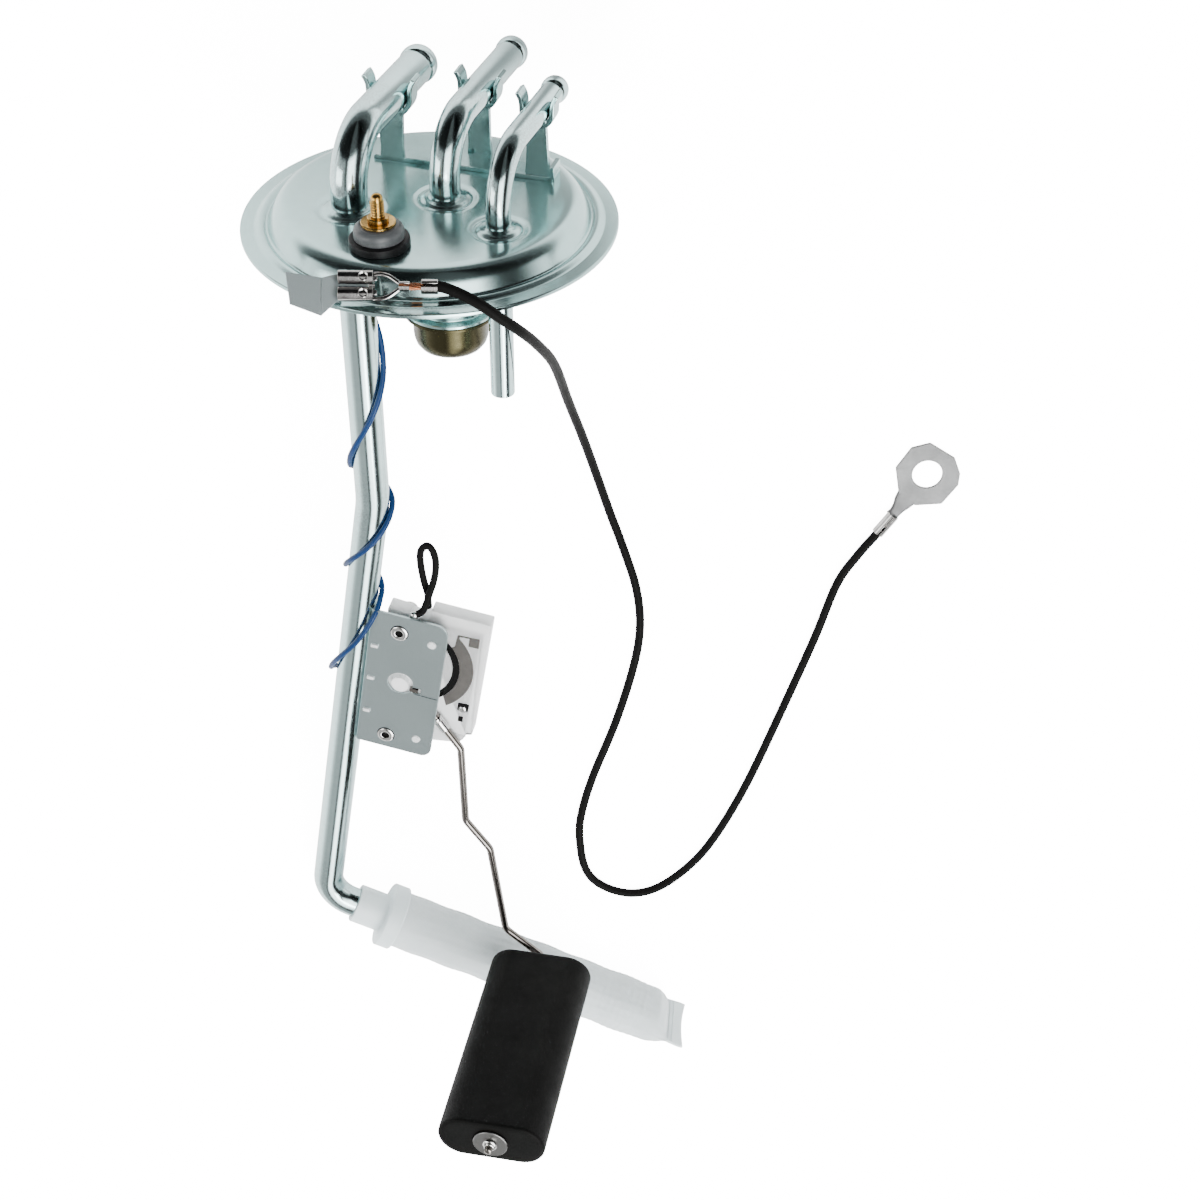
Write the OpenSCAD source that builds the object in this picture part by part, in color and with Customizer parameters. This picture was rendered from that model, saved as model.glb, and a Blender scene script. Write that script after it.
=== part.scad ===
// Fuel tank sending unit: a drawn steel flange carries three fuel lines, a stud terminal,
// a rollover valve, a strainer and a float-driven level sender.
//
// Lengths are in millimetres. The unit lies on its back, as on a bench: +Z is up from the
// bench, +Y points from the strainer to the hose ends and the origin is under its middle.
// The assembly itself is drawn in the flange's own frame: its origin is the centre of the
// rim's underside, +Z is the way out of the tank and -Y faces whoever looks at the sender.

/* [Flange] */
// Diameter of the rim that lies on the tank
rim_d = 97; // [94:0.5:104]
// Thickness of the drawn steel sheet
sheet_t = 1.2; // [0.8:0.1:1.6]
// Width of the rim outside the drawn wall
seat_w = 7; // [6:0.1:8]
// Width of the rounded shoulder between the wall and the flat top
shoulder_w = 5; // [4:0.1:6]
// Height of the flat top above the rim's underside
top_h = 7.2; // [6:0.1:9]
// Width of the stiffening bead pressed into the rim
bead_w = 2.4; // [1.6:0.1:3]
// Height of the stiffening bead
bead_h = 0.8; // [0.4:0.1:1.2]
// Height of the raised collar round each tube
collar_h = 0.9; // [0.4:0.1:1.6]
// Width of the raised collar round each tube
collar_w = 3; // [2:0.1:4]

/* [Fuel tubes] */
// Outer diameter of the supply tube
supply_d = 9.525; // [9:0.005:10]
// Outer diameter of the return tube
return_d = 7.94; // [7.5:0.01:8.2]
// Outer diameter of the vent tube
vent_d = 6.35; // [6:0.01:6.6]
// Wall thickness of the tubes
tube_t = 0.9; // [0.7:0.05:1.2]
// Height of the hose runs above the rim's underside
hose_h = 25.5; // [24:0.5:30]
// Angle by which the hose runs turn to the right of straight back
hose_turn = 18; // [10:1:22]
// Length of the supply tube's hose run
supply_run = 50; // [42:0.5:60]
// Length of the return tube's hose run
return_run = 52; // [42:0.5:60]
// Length of the vent tube's hose run
vent_run = 45; // [40:0.5:55]
// Bend radius of the tubes above the flange
bend_r = 14; // [13:0.5:15]
// How far the hose bead stands out of the tube
hose_bead_h = 0.85; // [0.5:0.05:1.2]
// Length of the hose bead along the tube
hose_bead_l = 3.4; // [2.5:0.1:5]
// Length of the plain nose in front of the hose bead
hose_nose = 1; // [0.5:0.1:3]
// Depth of the vent tube's open end below the rim
vent_drop = 41; // [30:1:50]
// Depth of the kink in the supply tube
kink_drop = 84; // [70:1:95]
// Lean of the supply tube below the kink
tube_lean = 9; // [7:0.5:11]
// Length of the supply tube from the kink to the elbow
lower_run = 161.5; // [150:0.5:170]
// Bend radius of the elbow at the strainer
elbow_r = 12; // [10:0.5:13]

/* [Tube bracket] */
// Thickness of the bracket's sheet
bracket_t = 1.3; // [1:0.1:1.6]
// Width of the strip that lies on the flange
strip_w = 7; // [6:0.5:8]
// Distance from the flange's centre to the strip's front face
strip_y = 15.8; // [15:0.1:18]
// Turn of the strip from the flange's left-right line
strip_turn = 15; // [12:1:18]
// Length of each trough along its tube
saddle_w = 5; // [3:0.25:6]
// Height of the prongs above the tubes' centres
prong_h = 6; // [4:0.25:7]
// How far the prongs lean outwards at their tips
prong_flare = 1.4; // [0.5:0.1:2]

/* [Terminal] */
// Diameter of the brass stud
stud_d = 4; // [3.5:0.1:4.5]
// Height of the stud's tip above the rim's underside
stud_tip = 21; // [19:0.5:24]
// Diameter of the insulator
insulator_d = 13.6; // [12.6:0.1:14.4]
// Diameter of the rubber seal
seal_d = 16; // [15:0.1:17]
// Thickness of the rubber seal
seal_t = 2.2; // [1.6:0.1:2.8]
// Height of the insulator above the seal
insulator_h = 3.4; // [2.6:0.1:4]
// Diameter of the washer under the stud's shoulder
stud_washer_d = 9; // [8:0.1:10]

/* [Rollover valve] */
// Outer diameter of the valve's can
valve_d = 20.2; // [18:0.1:22]
// Wall thickness of the can and its cap
valve_t = 1; // [0.7:0.1:1.2]
// Diameter of the valve's clamped rims
valve_rim_d = 25; // [23:0.1:27]
// Depth of the joint between can and cap below the rim
valve_drop = 24.5; // [22:0.5:28]
// Depth of the domed cap
cap_h = 11.5; // [10:0.5:13]
// Height of the can above its rim
can_h = 11; // [10:0.5:12]
// Diameter of the valve ball
ball_d = 15.9; // [14:0.1:16.5]

/* [Ground tab] */
// Thickness of the ground tab
tab_t = 0.8; // [0.6:0.1:1]
// Width of the tab's blade
blade_w = 6.3; // [5.8:0.1:6.6]
// Height of the tab's square end
tab_h = 9.2; // [8:0.2:10]
// Diameter of the ground wire
ground_wire_d = 2.7; // [2.4:0.1:2.9]

/* [Sender] */
// Distance down the supply tube from the kink to the sender's pivot
pivot_drop = 61; // [55:1:66]
// Turn of the sender plate about the supply tube
sender_turn = 11; // [8:0.5:14]
// Distance from the supply tube's axis to the pivot
pivot_x = 15.5; // [15:0.25:16.5]
// Thickness of the steel sender plate
plate_t = 0.9; // [0.7:0.1:1.2]
// Distance from the supply tube's axis to the plate's free edge
plate_w = 27.5; // [26:0.5:29]
// Height of the plate above the pivot
plate_up = 25; // [24.5:0.5:27]
// Depth of the plate below the pivot
plate_down = 26.5; // [26:0.5:28]
// Width of the gap that the rotor turns in, between plate and card
rotor_gap = 3.6; // [3.5:0.1:4.2]
// Thickness of the resistor card
card_t = 0.8; // [0.6:0.1:1.2]
// Thickness of the plastic housing behind the card's face
housing_t = 7.5; // [7:0.5:10]
// Wall thickness of the plastic housing
housing_wall = 1.2; // [1:0.1:1.6]
// Distance from the supply tube's axis to the housing's right side
housing_w = 38.5; // [37.5:0.5:41]
// Inner radius of the contact track
contact_track_r = 14.8; // [14:0.1:15.5]
// Inner radius of the resistor track
resistor_track_r = 17.2; // [16.8:0.1:17.8]
// Outer radius of the resistor track
track_out_r = 21; // [20.5:0.1:21.5]
// Radius of the rotor's journals
journal_r = 2.6; // [2.4:0.05:2.8]
// Radial clearance of the journals in their holes
journal_gap = 0.05; // [0.03:0.01:0.08]

/* [Float] */
// Diameter of the float arm's wire
arm_d = 2.3; // [2:0.05:2.4]
// Width of the float across its round ends
float_w = 33; // [30:0.5:36]
// Thickness of the float
float_t = 15.8; // [14:0.2:18]
// Length of the float along its rod
float_l = 71; // [64:1:74]
// Radius of the float's edges at its ends
float_edge = 1; // [0.5:0.1:2]
// Turn of the float about its rod at rest
float_spin = 10; // [0:1:20]
// Radial clearance of the float on its rod
float_gap = 0.08; // [0.05:0.01:0.1]
// Diameter of the washers at the float's ends
float_washer_d = 10.6; // [9:0.1:12]
// Thickness of the washers at the float's ends
float_washer_t = 0.7; // [0.5:0.1:1]

/* [Strainer] */
// Downward angle of the strainer from the flange's plane
strainer_dip = 25.2; // [24:0.1:27]
// Turn of the strainer towards the viewer
strainer_turn = 3.9; // [3.5:0.1:4.5]
// Distance along the strainer from the elbow's corner to its neck
neck_at = 10.4; // [10:0.1:12]
// Outer diameter of the neck
neck_d = 12.6; // [11.8:0.1:13.2]
// Distance along the strainer to the collar
strainer_collar_at = 20.6; // [20:0.1:22]
// Width of the collar
strainer_collar_w = 5.2; // [4:0.1:6]
// Diameter of the collar
strainer_collar_d = 21.2; // [20:0.1:22]
// Diameter of the sock
sock_d = 18.8; // [17.8:0.1:19]
// Distance along the strainer to the sock's flat end seal
seal_at = 125.5; // [115:0.5:130]
// Length of the flat end seal
seal_l = 6.3; // [4:0.1:8]
// Width of the flat end seal
seal_w = 18.4; // [16:0.2:19]
// Thickness of the sock's mesh
mesh_t = 0.5; // [0.4:0.05:0.8]

/* [Hidden] */
$fn = 64;
eps = 0.01;
// Clearance of a tube in a brazed or pressed hole
braze = 0.05;
// Length by which a cut runs past the face that it opens
over = 1;

// Where the three tubes and the terminal pass through the flange
rim_r = rim_d / 2;
supply_x = -19.5;
supply_y = -6.6;
return_x = 4.2;
return_y = -0.8;
vent_x = 18.4;
vent_y = -16.8;
terminal_x = -10.4;
terminal_y = -25;

// Directions: the hose runs, the lower supply tube and the strainer
hose_dir = [sin(hose_turn), cos(hose_turn), 0];
lower_dir = [-sin(tube_lean), 0, -cos(tube_lean)];
strainer_dir = [
    cos(strainer_dip) * cos(strainer_turn),
    -sin(strainer_turn),
    -sin(strainer_dip) * cos(strainer_turn)
];
kink = [supply_x, supply_y, -kink_drop];
elbow = kink + lower_dir * lower_run;
pivot_base = kink + lower_dir * pivot_drop;

// The unit rests on the rim's back edge and on the strainer's collar
collar_mid = elbow + strainer_dir * (strainer_collar_at + strainer_collar_w / 2);
rest_y = rim_r - collar_mid[1];
rest_reach = norm([rest_y, collar_mid[2]]);
lie_tilt = acos(strainer_collar_d / 2 / rest_reach) - atan2(-collar_mid[2], rest_y);
lie_lift = rim_r * cos(lie_tilt);
// The middle of the unit on the bench, without the ground wire
bench_x = (elbow[0] + strainer_dir[0] * (seal_at + seal_l) + seal_w / 5 - rim_r) / 2;
bench_y = -130.5;

// Sender: depths behind (+) and in front of (-) the supply tube's axis
card_face_y = 0.9;
plate_back_y = card_face_y - rotor_gap;
plate_face_y = plate_back_y - plate_t;
arm_y = (card_face_y + plate_back_y) / 2;
housing_back_y = card_face_y + housing_t;
arm_r = arm_d / 2;

// Float arm: its corners in the sender's plane, from the rotor to the float's rod
rod_x = 75;
rod_z = -103.6;
arm_points = [[20, -4], [36.2, -22], [41.4, -51.2], [50.6, -60.6], [60.4, -94.6], [rod_x, rod_z]];
rod_bend = 2.6;
float_far_y = arm_y - rod_bend - arm_r - float_washer_t - 0.3;
float_near_y = float_far_y - float_l;
rod_end_y = float_near_y - float_washer_t - 3.2;

// Rotor lever and wiper: their directions from the pivot
lever_angle = -48;
lever_r = 14.4;
wiper_angle = -60;

// Rivets and stakes: [x from the tube's axis, z from the pivot]
rivet_places = [[13.2, 18.9], [13.2, -21.6]];
stake_places = [[23.2, 17.4], [22.6, -20.4]];
rivet_r = 1.6;
stake_r = 1.3;

// Ground tab and connector: middle of the blade, and its tilt towards the viewer
spade_at = [-14.5, 6.5 - rim_r, 5.1];
spade_tilt = 51;
connector_l = 8.4;
barrel_r = 1.7;

// The ground wire's route over the bench, in the bench's frame
ground_route = [
    [-4.4, 127.5, 92.6], [0.6, 125.4, 94.4], [5.3, 121.8, 93.8], [9.8, 117.2, 90.2], [13.8, 109.2, 79.4],
    [17.4, 96.8, 61.6], [20.6, 75.8, 36.4], [24.6, 57, 19.4], [28.4, 40.6, 8.6], [32.4, 25.6, 2.6],
    [36.8, 12.4, 1.4], [40.8, -1, 1.4],
    [42.2, -14, 1.4], [40.6, -28, 1.4], [35.2, -49, 1.4], [28, -70, 1.4], [24.4, -84, 1.4],
    [23.6, -94, 1.4], [25.6, -107, 1.4], [31.4, -114, 1.4], [41, -117, 1.4], [50.6, -114, 1.4],
    [61, -104.4, 1.4], [69, -92, 1.4], [78, -72, 1.4], [87.6, -45, 1.4], [96.6, -18.4, 1.4],
    [102.4, 1, 1.5], [108, 11, 1.7]
];
ring_at = [127.2, 38];
ring_turn = 54.5;
ring_reach = 24;

// The signal wire's wraps: depth below the rim and the angle round the supply tube,
// counted from its right side towards the viewer
signal_d = 1.9;
signal_wraps = [
    [-30, -60], [-41, 0], [-57, 90], [-72, 180], [-79, 270], [-86, 360], [-97, 450],
    [-107, 540], [-111.5, 630], [-115, 705], [-117, 760], [-131, 810], [-146, 900], [-151, 970]
];

// A frame whose third axis points along a, and whose first lies as near to b as it can
module aim(at, a, b) {
    z = a / norm(a);
    y0 = cross(z, b);
    y = y0 / norm(y0);
    x = cross(y, z);
    multmatrix([
        [x[0], y[0], z[0], at[0]],
        [x[1], y[1], z[1], at[1]],
        [x[2], y[2], z[2], at[2]],
        [0, 0, 0, 1]
    ]) children();
}

function unit(a) = a / norm(a);
function side_of(a) = unit(cross(abs(a[2]) > 0.9 * norm(a) ? [0, 1, 0] : [0, 0, 1], a));

// A round bar along straight runs joined by bends; r lists one bend radius a corner.
// Each run starts in the frame in which the one before it ends. A bend is a hair thicker
// than the runs and laps over them, so that all of it fuses to one solid.
module bar(p, r, d, extend = 0) {
    u = unit(p[1] - p[0]);
    aim(p[0], u, side_of(u)) leg(p, r, d, extend, 0, u, side_of(u), 0);
}
// Run i of a bar: u is its heading, e the frame's first axis, used the length its bend took
module leg(p, r, d, extend, i, u, e, used) {
    length = norm(p[i + 1] - p[i]) - used;
    start = i == 0 ? -extend : 0;
    if (i == len(p) - 2) translate([0, 0, start]) cylinder(d = d, h = length + extend - start);
    else {
        v = unit(p[i + 2] - p[i + 1]);
        angle = acos(u * v);
        b = unit(v - u * (u * v));
        taken = r[i] * tan(angle / 2);
        lap = bend_lap / r[i] * 180 / PI;
        rotate([0, 0, atan2(cross(e, b) * u, e * b)]) {
            translate([0, 0, start]) cylinder(d = d, h = length - taken - start);
            translate([r[i], 0, length - taken]) {
                multmatrix([[-1, 0, 0, 0], [0, 0, 1, 0], [0, 1, 0, 0], [0, 0, 0, 1]]) rotate([0, 0, -lap])
                    rotate_extrude(angle = angle + 2 * lap) translate([r[i], 0])
                        circle(d = d + 2 * bend_skin);
                rotate([0, angle, 0]) translate([-r[i], 0, 0])
                    leg(p, r, d, extend, i + 1, v, b * cos(angle) - u * sin(angle), taken);
            }
        }
    }
}
bend_lap = 0.3;
bend_skin = 0.03;

// Points between route points, on a smooth curve through them
function smooth(p, n) = [
    for (i = [0:len(p) - 2], k = [0:n - 1]) curve(p, i, k / n),
    p[len(p) - 1]
];
function curve(p, i, t) = let (
    a = p[max(i - 1, 0)],
    b = p[i],
    c = p[i + 1],
    d = p[min(i + 2, len(p) - 1)]
) (2 * b + (c - a) * t + (2 * a - 5 * b + 4 * c - d) * t * t + (3 * b - a - 3 * c + d) * t * t * t) / 2;

// Rings across a path, and the solid tube through them
function heading(p, i) = unit(p[min(i + 1, len(p) - 1)] - p[max(i - 1, 0)]);
function carried(v, h) = unit(v - h * (v * h));
function sides_along(p, i = 0, v = [0, 0, 1]) = let (s = carried(v, heading(p, i)))
    i == len(p) - 1 ? [s] : concat([s], sides_along(p, i + 1, s));
function ring_points(at, h, s, r, n) = [
    for (k = [0:n - 1]) at + r * (s * cos(360 * k / n) + cross(h, s) * sin(360 * k / n))
];
module wire(p, d, n = 8, first = [0.1, 0.2, 1]) {
    s = sides_along(p, 0, first);
    r = d / 2;
    rings = [for (i = [0:len(p) - 1]) each ring_points(p[i], heading(p, i), s[i], r, n)];
    loft(rings, len(p), n);
}
// A closed solid through rings of n points each
module loft(points, count, n) {
    bands = [
        for (i = [0:count - 2], k = [0:n - 1]) let (a = i * n + k, b = i * n + (k + 1) % n)
            each [[a, a + n, b], [b, a + n, b + n]]
    ];
    front = [for (k = [0:n - 1]) k];
    back = [for (k = [n - 1:-1:0]) (count - 1) * n + k];
    polyhedron(points, concat([front, back], bands), convexity = 6);
}

// Places: the bench, the sender and the strainer
module on_bench() {
    translate([-bench_x, -bench_y, lie_lift]) rotate([lie_tilt - 90, 0, 0]) children();
}
module on_sender() {
    on_bench() translate(pivot_base) rotate([0, tube_lean, 0]) rotate([0, 0, -sender_turn]) children();
}
module on_strainer() {
    on_bench() aim(elbow, strainer_dir, [0, 0, 1]) children();
}
// A flat shape in the sender's plane, from depth y0 to depth y1
module sender_sheet(y0, y1) {
    translate([0, y1, 0]) rotate([90, 0, 0]) linear_extrude(y1 - y0) children();
}
module sender_pin(x, z, r, y0, y1) {
    translate([x, y1, z]) rotate([90, 0, 0]) cylinder(r = r, h = y1 - y0);
}

// Flange
wall_r = rim_r - seat_w;
top_r = wall_r - shoulder_w;
bead_out = wall_r + bead_w + 0.8;
module flange_outline() {
    polygon([
        [0, top_h - sheet_t], [top_r - 1.2, top_h - sheet_t], [top_r + shoulder_w * 0.35, top_h - 2.4],
        [wall_r - sheet_t, 0], [rim_r, 0], [rim_r, sheet_t], [bead_out, sheet_t],
        [wall_r + bead_w * 0.7 + 0.4, sheet_t + bead_h], [wall_r + bead_w * 0.3, sheet_t + bead_h],
        [wall_r, sheet_t + 0.2], [wall_r - 0.2, sheet_t + 0.4],
        [top_r + shoulder_w * 0.62, top_h - 2], [top_r + shoulder_w * 0.35, top_h - 0.7],
        [top_r, top_h - 0.1], [top_r - 1, top_h], [0, top_h]
    ]);
}
module tube_collar(d) {
    rotate_extrude() polygon([
        [d / 2 + braze, -0.4], [d / 2 + collar_w, -0.4], [d / 2 + collar_w, 0],
        [d / 2 + collar_w * 0.55, collar_h], [d / 2 + braze, collar_h * 0.9]
    ]);
}
module mounting_flange() {
    color("lightsteelblue") on_bench() difference() {
        union() {
            rotate_extrude($fn = 128) flange_outline();
            translate([supply_x, supply_y, top_h]) tube_collar(supply_d);
            translate([return_x, return_y, top_h]) tube_collar(return_d);
            translate([vent_x, vent_y, top_h]) tube_collar(vent_d);
        }
        flange_hole(supply_x, supply_y, supply_d / 2 + braze);
        flange_hole(return_x, return_y, return_d / 2 + braze);
        flange_hole(vent_x, vent_y, vent_d / 2 + braze);
        flange_hole(terminal_x, terminal_y, bush_r + braze);
    }
}
module flange_hole(x, y, r) {
    translate([x, y, 0]) cylinder(r = r, h = top_h + collar_h + over);
}

// Fuel tubes
supply_points = [
    [supply_x, supply_y, hose_h] + hose_dir * supply_run,
    [supply_x, supply_y, hose_h],
    kink,
    elbow,
    elbow + strainer_dir * (strainer_collar_at + 2)
];
return_points = [
    [return_x, return_y, hose_h] + hose_dir * return_run,
    [return_x, return_y, hose_h],
    [return_x, return_y, -valve_drop + can_h + 5]
];
vent_points = [
    [vent_x, vent_y, hose_h] + hose_dir * vent_run,
    [vent_x, vent_y, hose_h],
    [vent_x, vent_y, -vent_drop]
];
supply_bends = [bend_r, 30, elbow_r];
module fuel_tube(p, bends, d) {
    color("lightsteelblue") on_bench() difference() {
        union() {
            bar(p, bends, d);
            aim(p[0] - hose_dir * (hose_nose + hose_bead_l), hose_dir, [0, 0, 1]) hose_bead(d);
        }
        bar(p, bends, d - 2 * tube_t, over);
    }
}
module hose_bead(d) {
    l = hose_bead_l / 2;
    rotate_extrude() polygon(concat(
        [[d / 2 - 0.4, 0]],
        [for (a = [0:20:180]) [d / 2 - 0.1 + (hose_bead_h + 0.1) * sin(a), l - l * cos(a)]],
        [[d / 2 - 0.4, 2 * l]]
    ));
}
module supply_tube() {
    fuel_tube(supply_points, supply_bends, supply_d);
}
module return_tube() {
    fuel_tube(return_points, [bend_r], return_d);
}
module vent_tube() {
    fuel_tube(vent_points, [bend_r], vent_d);
}

// Tube bracket: a strip on the flange; an arm carries an open trough under each tube
module saddle(at_x, at_y, d, back) {
    // Where the tube crosses the trough, measured along the strip
    along = at_x * cos(strip_turn) - at_y * sin(strip_turn);
    behind = strip_y + back + saddle_w / 2 - at_x * sin(strip_turn) - at_y * cos(strip_turn);
    cross_x = along + behind * tan(hose_turn - strip_turn);
    r = d / 2 + 4 * braze;
    outer = r + bracket_t;
    h = hose_h - top_h;
    tip = h + prong_h;
    translate([cross_x, back + saddle_w, 0]) rotate([90, 0, 0]) {
        translate([0, 0, saddle_w - bracket_t]) linear_extrude(bracket_t)
            polygon([[-arm_w / 2, 0], [arm_w / 2, 0], [r * 0.7, h - r - 0.3], [-r * 0.7, h - r - 0.3]]);
        linear_extrude(saddle_w) difference() {
            polygon(concat(
                [for (a = [180:15:360]) [outer * cos(a), h + outer * sin(a)]],
                [[outer, h + 1.5], [outer + prong_flare, tip], [r + prong_flare, tip], [r, h + 1.5],
                    [-r, h + 1.5], [-r - prong_flare, tip], [-outer - prong_flare, tip], [-outer, h + 1.5]]
            ));
            translate([0, h]) circle(r = r);
            translate([-r, h]) square([2 * r, 1.5 + over]);
        }
    }
}
arm_w = 6.8;
middle_back = 8.5;
module tube_bracket() {
    left = -21;
    right = 28.5;
    tongue = 4.3;
    color("lightsteelblue") on_bench() rotate([0, 0, -strip_turn]) translate([0, strip_y, top_h]) {
        linear_extrude(bracket_t) polygon([
            [left, 0], [right, 0], [right, strip_w - 1], [right - 1, strip_w],
            [tongue + arm_w, strip_w], [tongue + arm_w, middle_back + bracket_t],
            [tongue, middle_back + bracket_t], [tongue, strip_w],
            [left + 3, strip_w], [left, strip_w - 3]
        ]);
        translate([right - bracket_t, 0, 0]) cube([bracket_t, strip_w - 1, 4]);
        saddle(supply_x, supply_y, supply_d, 0);
        saddle(return_x, return_y, return_d, middle_back);
        saddle(vent_x, vent_y, vent_d, 1);
    }
}

// Terminal
bush_r = 4.2;
seal_z = top_h;
insulator_z = seal_z + seal_t;
stud_washer_z = insulator_z + insulator_h;
bush_z = top_h - sheet_t;
sleeve_end_z = bush_z - 1.2;
module at_terminal(z) {
    on_bench() translate([terminal_x, terminal_y, z]) children();
}
module stud_seal() {
    color([0.12, 0.12, 0.12]) at_terminal(seal_z) rotate_extrude() polygon([
        [bush_r + braze, 0], [seal_d / 2, 0], [seal_d / 2, seal_t - 0.6], [seal_d / 2 - 0.6, seal_t],
        [bush_r + braze, seal_t]
    ]);
}
module stud_insulator() {
    color([0.4, 0.42, 0.44]) at_terminal(insulator_z) rotate_extrude() polygon([
        [stud_d / 2 + braze, sleeve_end_z - insulator_z],
        [bush_r, sleeve_end_z - insulator_z], [bush_r, 0],
        [insulator_d / 2, 0], [insulator_d / 2, insulator_h * 0.55],
        [insulator_d / 2 - 1, insulator_h * 0.85], [insulator_d / 2 - 1.8, insulator_h],
        [stud_d / 2 + braze, insulator_h]
    ]);
}
module stud_washer() {
    color("gold") at_terminal(stud_washer_z) difference() {
        cylinder(d = stud_washer_d, h = 0.8);
        translate([0, 0, -over]) cylinder(d = stud_d + 2 * braze, h = 0.8 + 2 * over);
    }
}
module terminal_stud() {
    shoulder_z = stud_washer_z + 0.8;
    color("gold") at_terminal(0) {
        translate([0, 0, nut_z - 5]) cylinder(d = stud_d, h = stud_tip - 1.2 - nut_z + 5);
        translate([0, 0, stud_tip - 1.2]) cylinder(d1 = stud_d, d2 = stud_d - 1.4, h = 1.2);
        translate([0, 0, shoulder_z]) cylinder(d = stud_d + 1.8, h = 1.8);
    }
}
bush_flange_z = bush_z - 2.4;
module stud_bush() {
    color([0.4, 0.42, 0.44]) at_terminal(bush_flange_z) difference() {
        cylinder(d = insulator_d - 1, h = 2.4);
        translate([0, 0, -over]) cylinder(d = stud_d + 2 * braze, h = 4 * over + 2.4);
        translate([0, 0, sleeve_end_z - braze - bush_flange_z]) cylinder(r = bush_r + braze, h = 2.4);
    }
}
tag_z = bush_flange_z - 0.6;
nut_z = tag_z;
module signal_tag() {
    color("gold") at_terminal(tag_z) {
        difference() {
            cylinder(d = 7.6, h = 0.6);
            translate([0, 0, -over]) cylinder(d = stud_d + 2 * braze, h = 0.6 + 2 * over);
        }
        difference() {
            translate([-1.2, 3.4, 0]) cube([2.4, 4, 0.6]);
            translate([0, 0, -over]) cylinder(d = 7, h = 0.6 + 2 * over);
        }
    }
}
module stud_nut() {
    color("gold") at_terminal(nut_z - 3) difference() {
        cylinder(d = 8, h = 3, $fn = 6);
        translate([0, 0, -over]) cylinder(d = stud_d + 2 * braze, h = 3 + 2 * over);
    }
}

// Ground tab, connector and wire
module at_spade() {
    on_bench() translate(spade_at) rotate([spade_tilt, 0, 0]) children();
}
module ground_tab() {
    fold_x = -7.4;
    fold_z = 2.2;
    foot_w = 3.6;
    // The blade's root, clear of the connector's end
    root_x = -connector_l / 2 - 0.2;
    // The foot lies on the flat of the rim, between its edge and the bead
    foot_x = spade_at[0] + fold_x - 0.2;
    foot_out = -sqrt(pow(rim_r - 0.15, 2) - foot_x * foot_x);
    foot_in = -sqrt(pow(bead_out + 0.1, 2) - pow(foot_x + foot_w, 2));
    foot_at = [foot_x, foot_out, sheet_t];
    color([0.7, 0.72, 0.74]) on_bench() {
        translate(foot_at) cube([foot_w, foot_in - foot_out, tab_t]);
        hull() {
            translate(foot_at) cube([foot_w, 0.8, tab_t]);
            translate(spade_at) rotate([spade_tilt, 0, 0])
                translate([fold_x - 0.2, -blade_w / 2, -tab_t / 2]) cube([foot_w, 0.8, tab_t]);
        }
    }
    color([0.7, 0.72, 0.74]) at_spade() {
        translate([root_x, -blade_w / 2, -tab_t / 2]) cube([connector_l - 1.3, blade_w, tab_t]);
        hull() {
            translate([root_x, -blade_w / 2, -tab_t / 2]) cube([eps, blade_w, tab_t]);
            translate([fold_x, -tab_h / 2, fold_z - tab_t / 2]) cube([eps, tab_h, tab_t]);
        }
        hull() {
            translate([fold_x, -tab_h / 2, fold_z - tab_t / 2]) cube([eps, tab_h, tab_t]);
            translate([-16.6, -tab_h / 2 + 1, -tab_t / 2]) cube([eps, tab_h - 1.6, tab_t]);
        }
    }
}
module spade_connector() {
    half = connector_l / 2;
    side = blade_w / 2 + 0.1;
    wall = 0.45;
    floor_z = -tab_t / 2 - 0.15 - wall;
    roll_z = tab_t / 2 + 0.1 + barrel_r;
    color("silver") at_spade() {
        translate([-half, -side - wall, floor_z]) cube([connector_l, 2 * (side + wall), wall]);
        for (s = [-1, 1]) {
            translate([-half, s > 0 ? side : -side - wall, floor_z])
                cube([connector_l, wall, roll_z - floor_z]);
            translate([-half, s * (side + wall - barrel_r), roll_z]) rotate([0, 90, 0]) difference() {
                cylinder(r = barrel_r, h = connector_l);
                translate([0, 0, -over]) cylinder(r = barrel_r - wall, h = connector_l + 2 * over);
            }
            // Two strips join the barrels to the neck that grips the strands
            hull() {
                translate([half - 0.6, s * 2.6, floor_z]) cylinder(r = 0.6, h = 1.2, $fn = 24);
                translate([half + 3.4, s * 2.4, crimp_z - 1]) cylinder(r = 0.6, h = 1.2, $fn = 24);
            }
            hull() {
                translate([half + 3.4, s * 2.4, crimp_z - 1]) cylinder(r = 0.6, h = 1.2, $fn = 24);
                translate([half + 6.4, s * 0.5, crimp_z - 0.7]) cylinder(r = 0.6, h = 1.2, $fn = 24);
            }
        }
        translate([half + 6, 0, crimp_z]) rotate([0, 90, 0]) cylinder(r = 1, h = crimp_x - half - 5.6);
        translate([crimp_x, 0, crimp_z]) rotate([0, 90, 0]) difference() {
            cylinder(d = ground_wire_d + 0.9, h = crimp_l);
            translate([0, 0, 0.6]) cylinder(d = ground_wire_d + 2 * braze, h = crimp_l);
        }
    }
}
crimp_x = connector_l / 2 + 11.4;
crimp_z = 1.2;
crimp_l = 4;
crimp_at = spade_at + [0, -crimp_z * sin(spade_tilt), crimp_z * cos(spade_tilt)];
function to_bench(p) = [
    p[0] - bench_x,
    p[1] * sin(lie_tilt) + p[2] * cos(lie_tilt) - bench_y,
    p[2] * sin(lie_tilt) - p[1] * cos(lie_tilt) + lie_lift
];
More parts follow.
